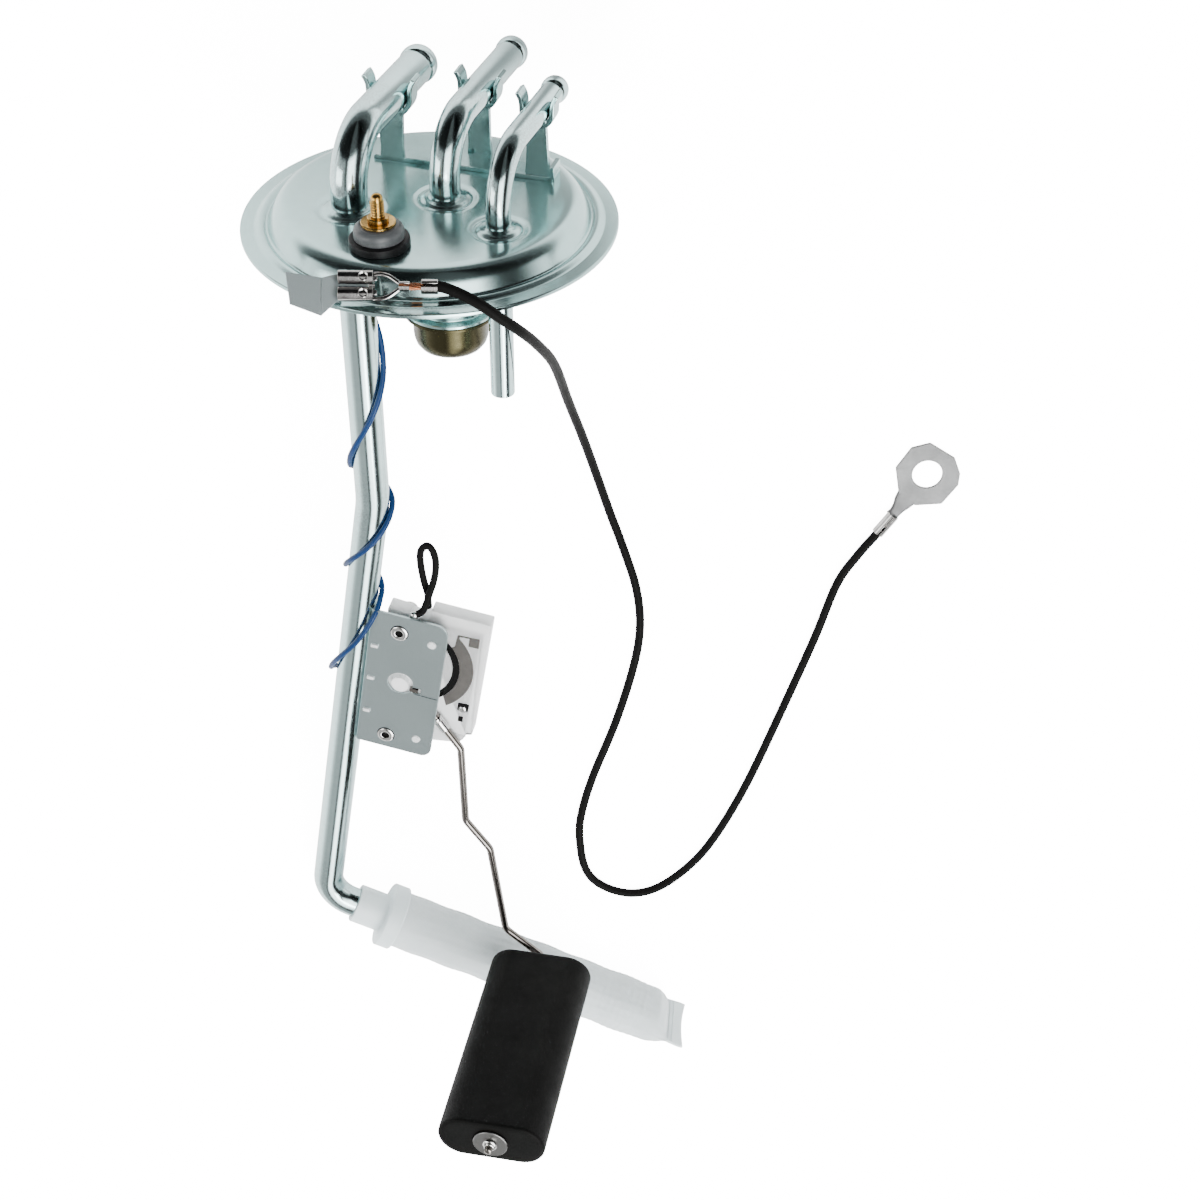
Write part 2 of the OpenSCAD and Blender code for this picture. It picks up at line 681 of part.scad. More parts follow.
module ground_wire() {
    ring_dir = [cos(ring_turn), sin(ring_turn)];
    path = concat(
        [for (x = [crimp_x + 1, crimp_x + crimp_l + 0.5]) to_bench(crimp_at + [x, 0, 0])],
        ground_route,
        [for (back = [0.8, -2]) concat(ring_at - ring_dir * (ring_reach + back), [barrel_z])]
    );
    color([0.06, 0.06, 0.06]) wire(smooth(path, 2), ground_wire_d);
}
module ring_terminal() {
    plate = 0.9;
    color("silver") translate([ring_at[0], ring_at[1], 0]) rotate([0, 0, ring_turn]) {
        linear_extrude(plate) difference() {
            union() {
                rotate(22.5) circle(d = ring_d, $fn = 8);
                translate([-15.5, -3.2]) square([8, 6.4]);
            }
            circle(r = ring_hole_r);
        }
        translate([-ring_reach, 0, barrel_z]) rotate([0, 90, 0]) difference() {
            cylinder(r = barrel_z, h = 10.4);
            translate([0, 0, -over]) cylinder(d = ground_wire_d + 2 * braze, h = 3 + over);
        }
    }
}
barrel_z = ground_wire_d / 2 + 0.5;
ring_d = 21.8;
ring_hole_r = 4.5;

// Rollover valve
module valve_can() {
    neck_r = return_d / 2 + braze + valve_t;
    top_z = can_h;
    neck_top = bush_z + valve_drop;
    color("lightsteelblue") on_bench() translate([return_x, return_y, -valve_drop]) rotate_extrude() polygon([
        [valve_d / 2 - valve_t, 0], [valve_rim_d / 2, 0], [valve_rim_d / 2, valve_t],
        [valve_d / 2, valve_t], [valve_d / 2, top_z - 1.5], [valve_d / 2 - 1.5, top_z],
        [neck_r, top_z + 1], [neck_r, neck_top], [neck_r - valve_t, neck_top],
        [neck_r - valve_t, top_z - valve_t], [valve_d / 2 - valve_t - 1, top_z - valve_t - 0.5],
        [valve_d / 2 - valve_t, top_z - valve_t - 1.5]
    ]);
}
module valve_cap() {
    color([0.75, 0.68, 0.4]) on_bench() translate([return_x, return_y, -valve_drop])
    rotate_extrude() polygon([
        [0, -cap_h], [valve_d / 2 - 3.4, -cap_h], [valve_d / 2 - 1.2, -cap_h + 1],
        [valve_d / 2 - 0.2, -cap_h + 3.2],
        [valve_d / 2, -valve_t - 0.4], [valve_rim_d / 2, -valve_t], [valve_rim_d / 2, 0],
        [valve_d / 2 - valve_t, 0], [valve_d / 2 - valve_t - 0.2, -cap_h + 3.6],
        [valve_d / 2 - valve_t - 1.2, -cap_h + valve_t + 0.8], [valve_d / 2 - valve_t - 3, -cap_h + valve_t],
        [0, -cap_h + valve_t]
    ]);
}
module valve_ball() {
    color("silver") on_bench()
        translate([return_x, return_y, -valve_drop - cap_h + valve_t + 0.1 + ball_d / 2]) sphere(d = ball_d);
}

// Sender
module plate_outline() {
    polygon([
        [supply_d / 2 - 1, -plate_down], [plate_w - 3, -plate_down], [plate_w - 0.9, -plate_down + 0.9],
        [plate_w, -plate_down + 3], [plate_w, plate_up - 4.4], [plate_w - 1.2, plate_up - 1.4],
        [plate_w - 4, plate_up], [supply_d / 2 - 1, plate_up]
    ]);
}
module plate_pin(x, z, r) {
    sender_pin(x, z, r, plate_face_y - over, plate_back_y + over);
}
module sender_plate() {
    slit_z = -2.6;
    color([0.66, 0.7, 0.72]) on_sender() {
        difference() {
            union() {
                sender_sheet(plate_face_y, plate_back_y) plate_outline();
                // The saddle that is welded round the supply tube
                translate([0, 0, -plate_down]) linear_extrude(plate_up + plate_down) difference() {
                    circle(r = supply_d / 2 + braze + plate_t);
                    circle(r = supply_d / 2 + braze);
                    translate([-20, plate_back_y]) square([20, 40]);
                    translate([-20, -20]) square([20 + supply_d / 2 - 1.6, 40]);
                    translate([-20, -20]) square([40, 20 + plate_back_y]);
                }
            }
            translate([0, 0, -plate_down - over])
                cylinder(r = supply_d / 2 + braze, h = plate_up + plate_down + 2 * over);
            plate_pin(pivot_x, 0, journal_r + journal_gap);
            for (p = rivet_places) plate_pin(p[0], p[1], rivet_r + braze);
            for (p = stake_places) plate_pin(p[0], p[1], stake_r + braze);
            // The slit and the window of the contact spring
            translate([pivot_x + journal_r, plate_face_y - over, slit_z]) {
                cube([plate_w, plate_t + 2 * over, 0.3]);
                cube([3.4, plate_t + 2 * over, 2.2]);
            }
        }
    }
}
housing_up = 27.5;
housing_down = 25;
module housing_outline() {
    polygon([
        [8, -housing_down], [26, -housing_down], [26, -22.6], [30.5, -22.6], [30.5, -20.8],
        [housing_w - 2, -20.8], [housing_w - 2, -17.6], [housing_w, -17.6], [housing_w, housing_up],
        [22.4, housing_up], [22.4, housing_up - 3], [17, housing_up - 3], [17, housing_up - 0.6],
        [8, housing_up - 0.6]
    ]);
}
module card_outline(gap) {
    translate([12 - gap, -18 - gap]) square([housing_w - 14 + 2 * gap, 40 + 2 * gap]);
}
module sender_housing() {
    inside = housing_back_y - housing_wall;
    color([0.93, 0.94, 0.94]) on_sender() difference() {
        union() {
            difference() {
                sender_sheet(card_face_y, housing_back_y) housing_outline();
                sender_sheet(card_face_y - over, card_face_y + card_t) card_outline(0.1);
                sender_sheet(card_face_y, inside) translate([13, -16.4]) square([housing_w - 16.6, 36.8]);
            }
            for (p = rivet_places) sender_pin(p[0], p[1], post_r, plate_back_y, inside + 0.4);
            for (p = stake_places) {
                sender_pin(p[0], p[1], stake_post_r, plate_back_y, inside + 0.4);
                sender_pin(p[0], p[1], stake_r, plate_face_y - 0.3, card_face_y);
            }
            sender_pin(pivot_x, 0, pivot_boss_r, card_face_y + card_t + 0.2, inside + 0.4);
        }
        sender_pin(pivot_x, 0, journal_r + journal_gap, plate_back_y, inside);
        for (p = rivet_places)
            sender_pin(p[0], p[1], rivet_r + braze, plate_back_y - over, housing_back_y + over);
    }
}
post_r = 3.2;
stake_post_r = 1.9;
pivot_boss_r = 4.4;
module resistor_card() {
    color([0.9, 0.91, 0.9]) on_sender() difference() {
        sender_sheet(card_face_y, card_face_y + card_t) card_outline(0);
        sender_pin(pivot_x, 0, journal_r + 0.6, plate_back_y, housing_back_y);
        for (p = stake_places) sender_pin(p[0], p[1], stake_post_r + 0.2, plate_back_y, housing_back_y);
        for (p = rivet_places) sender_pin(p[0], p[1], post_r + 0.2, plate_back_y, housing_back_y);
    }
}
track_t = 0.12;
track_start = -66;
track_end = 50;
solder_place = [34, -9];
solder_r = 1.2;
module track(r0, r1, a0, a1) {
    steps = 24;
    polygon([
        for (i = [0:steps]) let (a = a0 + (a1 - a0) * i / steps) [pivot_x + r1 * cos(a), r1 * sin(a)],
        for (i = [steps:-1:0]) let (a = a0 + (a1 - a0) * i / steps) [pivot_x + r0 * cos(a), r0 * sin(a)]
    ]);
}
module card_tracks() {
    color([0.4, 0.4, 0.4]) on_sender() sender_sheet(card_face_y - track_t, card_face_y) {
        track(contact_track_r, contact_track_r + 2, track_start, track_end - 4);
        difference() {
            track(resistor_track_r, track_out_r, track_start, track_end);
            translate(solder_place) circle(r = solder_r + braze);
        }
        translate([33.6, 14.6]) square([3, 3.4]);
        translate([32.6, -13.6]) square([2.8, 2.2]);
    }
}
module card_solder() {
    color("silver") on_sender()
        sender_pin(solder_place[0], solder_place[1], solder_r, card_face_y - 0.5, card_face_y);
}
module sender_rivets() {
    color("silver") on_sender() for (p = rivet_places) difference() {
        union() {
            sender_pin(p[0], p[1], rivet_r, plate_face_y - 0.6, housing_back_y + 0.8);
            sender_pin(p[0], p[1], 2.5, plate_face_y - 0.6, plate_face_y);
            sender_pin(p[0], p[1], 2.5, housing_back_y, housing_back_y + 0.8);
        }
        sender_pin(p[0], p[1], 0.9, plate_face_y - over, plate_face_y + 2);
    }
}
module ground_spring() {
    color([0.6, 0.4, 0.25]) on_sender() {
        translate([pivot_x + journal_r + 0.4, plate_face_y - 0.25, -2]) cube([2.6, plate_t + 0.2, 1.2]);
    }
}
rotor_front_y = plate_back_y + 0.3;
rotor_back_y = card_face_y - 0.3;
wiper_y = arm_y + arm_r + 0.08;
wiper_t = 0.22;
module sender_rotor() {
    color([0.93, 0.94, 0.94]) on_sender() difference() {
        union() {
            sender_pin(pivot_x, 0, 6.4, rotor_front_y, rotor_back_y - 0.5);
            // The boss that carries the wiper, clear of the arm's end
            sender_pin(pivot_x, 0, 4.2, rotor_back_y - 0.6, wiper_y);
            sender_pin(pivot_x, 0, journal_r, plate_face_y - 0.7, rotor_back_y);
            sender_pin(pivot_x, 0, journal_r, rotor_back_y - 0.5, housing_back_y - housing_wall - 0.4);
            sender_sheet(rotor_front_y, rotor_back_y - 0.5) translate([pivot_x, 0]) rotate(lever_angle) {
                translate([0, -3]) square([lever_r - 2, 6]);
                translate([lever_r - 3, 0]) circle(r = 3);
            }
        }
        translate([0, arm_y, 0]) rotor_groove();
    }
}
module rotor_groove() {
    a = [arm_points[0][0], 0, arm_points[0][1]];
    b = [arm_points[1][0], 0, arm_points[1][1]];
    u = unit(b - a);
    aim(a - u * 0.2, u, [0, 1, 0]) {
        cylinder(r = arm_r + braze, h = 30);
        translate([-4, -arm_r - braze, 0]) cube([4, 2 * (arm_r + braze), 30]);
    }
}
module wiper() {
    color([0.75, 0.5, 0.35]) on_sender() difference() {
        union() {
            sender_sheet(wiper_y, wiper_y + wiper_t) translate([pivot_x, 0]) rotate(wiper_angle) {
                circle(r = 5);
                translate([0, -1.8]) square([18.6, 3.6]);
            }
            for (r = [contact_track_r + 1, resistor_track_r + 1.5]) {
                x = pivot_x + r * cos(wiper_angle);
                z = r * sin(wiper_angle);
                sender_pin(x, z, 0.7, wiper_y + wiper_t / 2, card_face_y - track_t - 0.06);
            }
        }
        sender_pin(pivot_x, 0, journal_r + braze, plate_back_y, housing_back_y);
    }
}
arm_3d = [for (p = arm_points) [p[0], arm_y, p[1]]];
module arm_sleeve() {
    u = unit(arm_3d[1] - arm_3d[0]);
    color("silver") on_sender() aim(arm_3d[0] + u * 11, u, [0, 1, 0]) difference() {
        cylinder(r = arm_r + 0.3, h = 5);
        translate([0, 0, -over]) cylinder(r = arm_r + braze / 2, h = 5 + 2 * over);
    }
}
module float_arm() {
    path = concat(arm_3d, [[rod_x, rod_end_y, rod_z]]);
    color([0.45, 0.42, 0.4]) on_sender() bar(path, [3, 4, 4, 4, rod_bend], arm_d);
}
module float_washers() {
    places = [float_far_y + 0.1, float_near_y - float_washer_t - 0.1];
    color("silver") on_sender() for (y = places) difference() {
        sender_pin(rod_x, rod_z, float_washer_d / 2, y, y + float_washer_t);
        sender_pin(rod_x, rod_z, arm_r + braze, y - over, y + float_washer_t + over);
    }
}
module arm_clip() {
    y = float_near_y - float_washer_t - 0.1;
    color("silver") on_sender() difference() {
        sender_pin(rod_x, rod_z, 2.2, y - 1.4, y);
        sender_pin(rod_x, rod_z, arm_r + braze, y - 3, y + over);
    }
}
module float() {
    r = float_t / 2;
    half = float_w / 2 - r;
    color([0.12, 0.12, 0.12]) on_sender() translate([rod_x, float_far_y, rod_z]) rotate([90, -float_spin, 0])
        difference() {
            union() {
                translate([0, 0, float_edge]) linear_extrude(float_l - 2 * float_edge) float_outline(r, half);
                linear_extrude(float_l) float_outline(r - float_edge, half);
                for (s = [-1, 1]) translate([s * half, 0, 0]) rotate_extrude() float_end(r);
                for (z = [float_edge, float_l - float_edge]) for (s = [-1, 1])
                    translate([-half, s * (r - float_edge), z]) rotate([0, 90, 0])
                        cylinder(r = float_edge, h = 2 * half);
            }
            translate([0, 0, -over]) cylinder(r = arm_r + float_gap, h = float_l + 2 * over);
        }
}
module float_outline(r, half) {
    for (s = [-1, 1]) translate([s * half, 0]) circle(r = r);
    translate([-half, -r]) square([2 * half, 2 * r]);
}
module float_end(r) {
    e = float_edge;
    polygon(concat(
        [[0, 0]],
        [for (a = [-90:15:0]) [r - e + e * cos(a), e + e * sin(a)]],
        [for (a = [0:15:90]) [r - e + e * cos(a), float_l - e + e * sin(a)]],
        [[0, float_l]]
    ));
}

// Wires that the unit holds along their way
wrap_r = supply_d / 2 + plate_t + signal_d / 2 + 0.2;
function supply_axis_x(z) = z > -kink_drop ? supply_x : supply_x + (z + kink_drop) * tan(tube_lean);
function wrapped(z, a) = [
    supply_axis_x(z) + wrap_r * cos(a) / (z > -kink_drop ? 1 : cos(tube_lean)),
    supply_y - wrap_r * sin(a),
    z
];
function between(p, i, t) = p[i] + (p[i + 1] - p[i]) * t;
wrap_steps = 5;
wrap_path = [
    for (i = [0:len(signal_wraps) - 2], k = [0:wrap_steps - 1])
        let (w = between(signal_wraps, i, k / wrap_steps)) wrapped(w[0], w[1])
];
signal_start = [[terminal_x, terminal_y + 7.6, tag_z], [terminal_x - 0.6, terminal_y + 10, tag_z - 4]];
signal_end = [[-30.6, -0.6, -152.6], [-27.8, -0.2, -153.4], [-24.2, -1.2, -153.8]];
module signal_wire() {
    color([0.1, 0.3, 0.6]) on_bench()
        wire(concat(smooth(concat(signal_start, [[-12.2, -8, -26]]), 3), wrap_path, signal_end), signal_d);
}
jumper_points = [
    [16.3, -1.7, 25.6], [16.3, -1.3, 27.2], [16.9, 0.9, 29.6], [16.9, 2, 33], [16.2, 2.4, 38.6],
    [16.6, 2.6, 45.6], [17.6, 2.8, 47.6], [18.8, 3, 45.6], [19.2, 3.4, 41.4], [18.6, 3.8, 34], [19, 3.9, 28.6],
    [19.2, 4, 26], [19.2, 4, housing_up - 2.9]
];
module jumper_wire() {
    color([0.06, 0.06, 0.06]) on_sender() wire(smooth(jumper_points, 3), 1.8);
}

// Strainer
module strainer_neck() {
    bore = supply_d + 2 * braze;
    color([0.87, 0.89, 0.9]) on_strainer() difference() {
        union() {
            translate([0, 0, neck_at]) cylinder(d = neck_d, h = strainer_collar_at - neck_at + 1);
            translate([0, 0, strainer_collar_at]) cylinder(d = strainer_collar_d, h = strainer_collar_w);
            translate([0, 0, sock_start - eps]) cylinder(d = core_d, h = core_start - sock_start);
        }
        translate([0, 0, neck_at - over]) cylinder(d = bore, h = strainer_collar_at + 3 - neck_at + over);
        translate([0, 0, strainer_collar_at]) cylinder(d = supply_d - 2, h = 30);
    }
}
core_d = 12;
sock_start = strainer_collar_at + strainer_collar_w;
core_start = sock_start + 4;
core_end = seal_at - 12;
core_ring_d = sock_d - 2 * mesh_t - 1;
module strainer_core() {
    color([0.87, 0.89, 0.9]) on_strainer() {
        difference() {
            translate([0, 0, core_start]) cylinder(d = core_d, h = core_end - core_start);
            translate([0, 0, core_start - over])
                cylinder(d = core_d - 2.4, h = core_end - core_start + 2 * over);
            for (z = [core_start + 6:15:core_end - 12], a = [0, 90])
                translate([0, 0, z + 5]) rotate([0, 90, a]) translate([-4, -2.5, -core_d])
                    cube([8, 5, 2 * core_d]);
        }
        for (z = [core_start + 2:15:core_end - 2]) difference() {
            translate([0, 0, z]) cylinder(d = core_ring_d, h = 1.2);
            translate([0, 0, z - over]) cylinder(d = core_d - 1, h = 1.2 + 2 * over);
        }
    }
}
// The sock's sections along its length: [distance, half width, half thickness]
function sock_sections(t) = [
    [sock_start, sock_d / 2 - t, sock_d / 2 - t],
    [sock_start + 12, sock_d / 2 - t, sock_d / 2 - t],
    [seal_at - 40, sock_d / 2 - t, sock_d / 2 - t],
    [seal_at - 12, sock_d / 2 + 0.4 - t, sock_d / 2 - 0.4 - t],
    [seal_at - 6, sock_d / 2 + 0.6 - t, sock_d / 2 - 1.4 - t],
    [seal_at - 3, sock_d / 2 + 0.4 - t, sock_d * 0.3 - t],
    [seal_at, seal_w / 2 - t, 1.3 - t]
];
sock_sides = 32;
function sock_ring(s) = [
    for (k = [0:sock_sides - 1]) let (a = 360 * k / sock_sides) [s[2] * cos(a), s[1] * sin(a), s[0]]
];
module sock_solid(t, extend) {
    s = sock_sections(t);
    first = s[0];
    all = concat([[first[0] - extend, first[1], first[2]]], s);
    loft([for (q = all) each sock_ring(q)], len(all), sock_sides);
}
module strainer_sock() {
    color([0.9, 0.91, 0.91], 0.8) on_strainer() mirror([1, 0, 0]) difference() {
        sock_solid(0, 0);
        sock_solid(mesh_t, over);
    }
}
module strainer_seal() {
    color([0.87, 0.89, 0.9]) on_strainer() translate([-0.6, -seal_w / 2, seal_at])
        cube([1.2, seal_w, seal_l]);
}

mounting_flange();
supply_tube();
return_tube();
vent_tube();
tube_bracket();
terminal_stud();
stud_washer();
stud_insulator();
stud_seal();
stud_bush();
stud_nut();
signal_tag();
ground_tab();
spade_connector();
ground_wire();
ring_terminal();
valve_can();
valve_cap();
valve_ball();
sender_plate();
sender_housing();
resistor_card();
card_tracks();
card_solder();
sender_rivets();
ground_spring();
sender_rotor();
wiper();
arm_sleeve();
float_arm();
float_washers();
arm_clip();
float();
signal_wire();
jumper_wire();
strainer_neck();
strainer_core();
strainer_sock();
strainer_seal();
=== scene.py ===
# %% [markdown]
# A fuel tank sending unit, dressed for the camera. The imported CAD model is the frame: it fixes
# every size and place. Each cell below makes one piece or one finish of the real object and says
# why it is made that way. Lengths inside the cells are in millimetres, as on a drawing; a piece is
# scaled to metres once, when its mesh is written.

# %% Load the frame
import math
import bmesh
import bpy
import numpy as np
from mathutils import Matrix, Vector


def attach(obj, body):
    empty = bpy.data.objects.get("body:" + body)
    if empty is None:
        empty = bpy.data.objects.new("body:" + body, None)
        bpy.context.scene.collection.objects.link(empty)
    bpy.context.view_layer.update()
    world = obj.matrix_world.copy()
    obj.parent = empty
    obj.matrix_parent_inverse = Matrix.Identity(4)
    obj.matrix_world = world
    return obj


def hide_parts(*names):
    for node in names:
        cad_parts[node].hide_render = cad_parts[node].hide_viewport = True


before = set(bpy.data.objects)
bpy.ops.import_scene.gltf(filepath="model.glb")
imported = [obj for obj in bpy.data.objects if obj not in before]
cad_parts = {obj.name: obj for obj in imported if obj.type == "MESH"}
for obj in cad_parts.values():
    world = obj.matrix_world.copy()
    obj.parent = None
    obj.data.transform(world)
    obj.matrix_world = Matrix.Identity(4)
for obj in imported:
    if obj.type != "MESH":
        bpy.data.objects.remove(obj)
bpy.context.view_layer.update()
MM, MICRON = 1e-3, 1e-6
print("nodes in the frame:", len(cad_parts))

# %% [markdown]
# The unit was drawn upright in the frame of its flange and then laid on its back, so that the rim
# and the strainer's collar touch the bench. The same few sizes give the same pose here: `flange_space`
# takes a point of the flange's frame to the bench, and `sender_space` one of the sender's frame.

# %% Frames
def shift(x, y, z):
    return Matrix.Translation((x, y, z))

def aimed(at, along, first):
    """A frame at a point, its Z along one direction and its X as near to another as it can be."""
    z = Vector(along).normalized()
    y = z.cross(Vector(first)).normalized()
    x = y.cross(z)
    m = Matrix((x, y, z)).transposed().to_4x4()
    m.translation = Vector(at)
    return m

rim_r = 48.5
top_h = 7.2
sheet_t = 1.2
supply_x, supply_y, supply_r = -19.5, -6.6, 4.7625
return_x, return_y, return_r = 4.2, -0.8, 3.97
vent_x, vent_y, vent_r = 18.4, -16.8, 3.175
terminal_x, terminal_y = -10.4, -25.0
hose_h = 25.5
tube_lean = math.radians(9)
sender_turn = math.radians(11)
strainer_dip = math.radians(25.2)
strainer_turn = math.radians(3.9)
collar_at, collar_w, collar_d = 20.6, 5.2, 21.2
seal_at, seal_l, seal_w = 125.5, 6.3, 18.4
bench_y = -130.5

lower_dir = Vector((-math.sin(tube_lean), 0, -math.cos(tube_lean)))
hose_dir = Vector((math.sin(math.radians(18)), math.cos(math.radians(18)), 0))
strainer_dir = Vector((
    math.cos(strainer_dip) * math.cos(strainer_turn), -math.sin(strainer_turn),
    -math.sin(strainer_dip) * math.cos(strainer_turn),
))
kink = Vector((supply_x, supply_y, -84))
elbow = kink + lower_dir * 161.5
collar_mid = elbow + strainer_dir * (collar_at + collar_w / 2)
reach_y = rim_r - collar_mid.y
lie_tilt = math.acos(collar_d / 2 / math.hypot(reach_y, collar_mid.z)) - math.atan2(-collar_mid.z, reach_y)
bench_x = ((elbow + strainer_dir * (seal_at + seal_l)).x + seal_w / 5 - rim_r) / 2

flange_space = (
    shift(-bench_x, -bench_y, rim_r * math.cos(lie_tilt))
    @ Matrix.Rotation(lie_tilt - math.pi / 2, 4, "X")
)
sender_space = (
    flange_space
    @ Matrix.Translation(kink + lower_dir * 61)
    @ Matrix.Rotation(tube_lean, 4, "Y")
    @ Matrix.Rotation(-sender_turn, 4, "Z")
)
strainer_space = flange_space @ aimed(elbow, strainer_dir, (0, 0, 1))
print("the unit lies", round(math.degrees(lie_tilt), 2), "degrees off level")

# %% [markdown]
# The camera stands where the photographer's did: above the bench, on the side of the hose ends,
# with the picture's top towards the flange. Its place and focal length were solved from the
# ellipses of the flange, so the render and the photograph can be laid over each other.

# %% Camera
camera_at = Vector((44.4, -472, 256.2))
focal_px, frame_px = 2054, 1200
pitch, roll = math.radians(38.9), math.radians(-0.47)
level = Vector((1, 0, 0))
down = Vector((0, -math.sin(pitch), -math.cos(pitch)))
ahead = Vector((0, math.cos(pitch), -math.sin(pitch)))
right = level * math.cos(roll) + down * math.sin(roll)
below = down * math.cos(roll) - level * math.sin(roll)
camera_data = bpy.data.cameras.new("camera")
camera_data.sensor_width = 36
camera_data.lens = focal_px / frame_px * 36
camera_data.clip_start, camera_data.clip_end = 0.01, 20
camera = bpy.data.objects.new("camera", camera_data)
turn = Matrix((right, -below, -ahead)).transposed().to_4x4()
stand = flange_space @ Matrix.Translation(camera_at) @ turn
stand.translation = stand.translation * MM
camera.matrix_world = stand
bpy.context.scene.collection.objects.link(camera)
bpy.context.scene.camera = camera
print("lens", round(camera_data.lens, 2), "mm")

# %% [markdown]
# Every finish starts from the same Principled shader and takes its detail from two shared node groups.
# `soft mottle` is the cloudy variation that no real surface is without, and `relief` turns a fine noise
# into bumps. The groups put out only a mask and a normal, so the export can bake them. `add_node` is
# how every node is made: its options first, then a number or another node's output for each input.

# %% Shared node groups
def feed(tree, socket, value):
    if isinstance(value, bpy.types.NodeSocket):
        tree.links.new(value, socket)
    elif isinstance(value, tuple):
        socket.default_value = (*value, 1)
    elif value is not None:
        socket.default_value = value

def add_node(tree, kind, options=None, **inputs):
    made = tree.nodes.new(kind)
    for label, value in (options or {}).items():
        setattr(made, label, value)
    for label, value in inputs.items():
        feed(tree, made.inputs[label.replace("_", " ")], value)
    return made

def math_node(tree, kind, a, b=None, clamp=False):
    node = add_node(tree, "ShaderNodeMath", {"operation": kind, "use_clamp": clamp})
    feed(tree, node.inputs[0], a)
    feed(tree, node.inputs[1], b)
    return node.outputs[0]

def times(tree, a, b):
    return math_node(tree, "MULTIPLY", a, b)

def blend_colour(tree, mask, a, b):
    return add_node(tree, "ShaderNodeMix", {"data_type": "RGBA"}, Factor=mask, A=a, B=b).outputs["Result"]

def noise_node(tree, scale, detail):
    where = add_node(tree, "ShaderNodeTexCoord").outputs["Object"]
    noise = add_node(tree, "ShaderNodeTexNoise", Vector=where, Scale=scale, Detail=detail, Roughness=0.55)
    return noise.outputs["Fac"]

def group_node(tree, group, output, **inputs):
    return add_node(tree, "ShaderNodeGroup", {"node_tree": group}, **inputs).outputs[output]

def stain(tree, mask, colour):
    """Lays one more colour over a finish, where a mask says so."""
    base = tree.nodes["Principled BSDF"].inputs["Base Color"]
    feed(tree, base, blend_colour(tree, mask, base.links[0].from_socket, colour))

def new_group(name, inputs, output, kind):
    """A shader group with plain numbers as inputs and one output."""
    group = bpy.data.node_groups.new(name, "ShaderNodeTree")
    for label, value in inputs.items():
        group.interface.new_socket(label, in_out="INPUT", socket_type="NodeSocketFloat").default_value = value
    group.interface.new_socket(output, in_out="OUTPUT", socket_type=kind)
    return group, group.nodes.new("NodeGroupInput").outputs, group.nodes.new("NodeGroupOutput").inputs[output]

mottle, knobs, mask = new_group("soft mottle", {"Scale": 60, "Contrast": 3}, "Mask", "NodeSocketFloat")
wide = noise_node(mottle, knobs["Scale"], 4)
fine = noise_node(mottle, times(mottle, knobs["Scale"], 7.3), 4)
both = math_node(mottle, "ADD", times(mottle, wide, 0.7), times(mottle, fine, 0.3))
spread = times(mottle, math_node(mottle, "SUBTRACT", both, 0.5), knobs["Contrast"])
feed(mottle, mask, math_node(mottle, "ADD", spread, 0.5, clamp=True))

relief, knobs, normal = new_group("relief", {"Scale": 3000, "Depth": 0.00002}, "Normal", "NodeSocketVector")
height = noise_node(relief, knobs["Scale"], 3)
bump = add_node(relief, "ShaderNodeBump", Strength=1, Distance=knobs["Depth"], Height=height)
feed(relief, normal, bump.outputs["Normal"])
print("groups:", [g.name for g in bpy.data.node_groups])

# %% [markdown]
# `finish` builds one material: its name, its slot in the record, a light and a dark colour that the mottle
# mixes, and the roughness of each. `cloud` is the mottle's scale and contrast, `grain` the scale of the
# relief and its depth in micrometres. Anything else goes on the shader's own sockets.

# %% A finish
slot_of = {}

def finish(name, slot, light, dark, rough, cloud, grain, metal=0, **sockets):
    mat = bpy.data.materials.new(name)
    mat.use_nodes = True
    tree = mat.node_tree
    shader = tree.nodes["Principled BSDF"]
    clouds = group_node(tree, mottle, "Mask", Scale=cloud[0], Contrast=cloud[1])
    spread = add_node(tree, "ShaderNodeMapRange", To_Min=rough[1], To_Max=rough[0], Value=clouds)
    feed(tree, shader.inputs["Base Color"], blend_colour(tree, clouds, dark, light))
    feed(tree, shader.inputs["Roughness"], spread.outputs["Result"])
    feed(tree, shader.inputs["Normal"], group_node(tree, relief, "Normal", Scale=grain[0], Depth=grain[1] * MICRON))
    shader.inputs["Metallic"].default_value = metal
    for label, value in sockets.items():
        shader.inputs[label.replace("_", " ")].default_value = value
    slot_of[name] = slot
    return mat

zinc = finish("zinc plating", "zinc_steel", (0.41, 0.565, 0.555), (0.325, 0.46, 0.455), (0.14, 0.23),
              metal=1, cloud=(46, 1.5), grain=(5200, 8))
tube_zinc = finish("drawn zinc tube", "zinc_steel", (0.54, 0.69, 0.69), (0.44, 0.585, 0.585), (0.1, 0.19),
                   metal=1, cloud=(420, 1.6), grain=(5200, 7))
sheet_steel = finish("pressed sheet", "sender_steel", (0.37, 0.44, 0.445), (0.32, 0.385, 0.39), (0.3, 0.4),
                     metal=1, cloud=(70, 1.6), grain=(3600, 5))
arm_steel = finish("drawn arm wire", "arm_steel", (0.22, 0.205, 0.19), (0.13, 0.12, 0.11), (0.14, 0.24),
                   metal=1, cloud=(300, 2), grain=(3000, 6))
bright_plate = finish("bright plate", "washer_steel", (0.62, 0.62, 0.605), (0.5, 0.5, 0.49), (0.12, 0.22),
                      metal=1, cloud=(200, 2), grain=(3000, 4))
dull_plate = finish("dull plate", "washer_steel", (0.22, 0.22, 0.215), (0.16, 0.16, 0.155), (0.26, 0.38),
                    metal=1, cloud=(160, 2), grain=(3000, 6))
# Near-white steel for the gussets: a painted glint.
painted_glint_steel = finish("painted glint steel", "sender_steel", (0.85, 0.86, 0.86), (0.7, 0.71, 0.71), (0.5, 0.62),
                   metal=1, cloud=(200, 2), grain=(3000, 4))
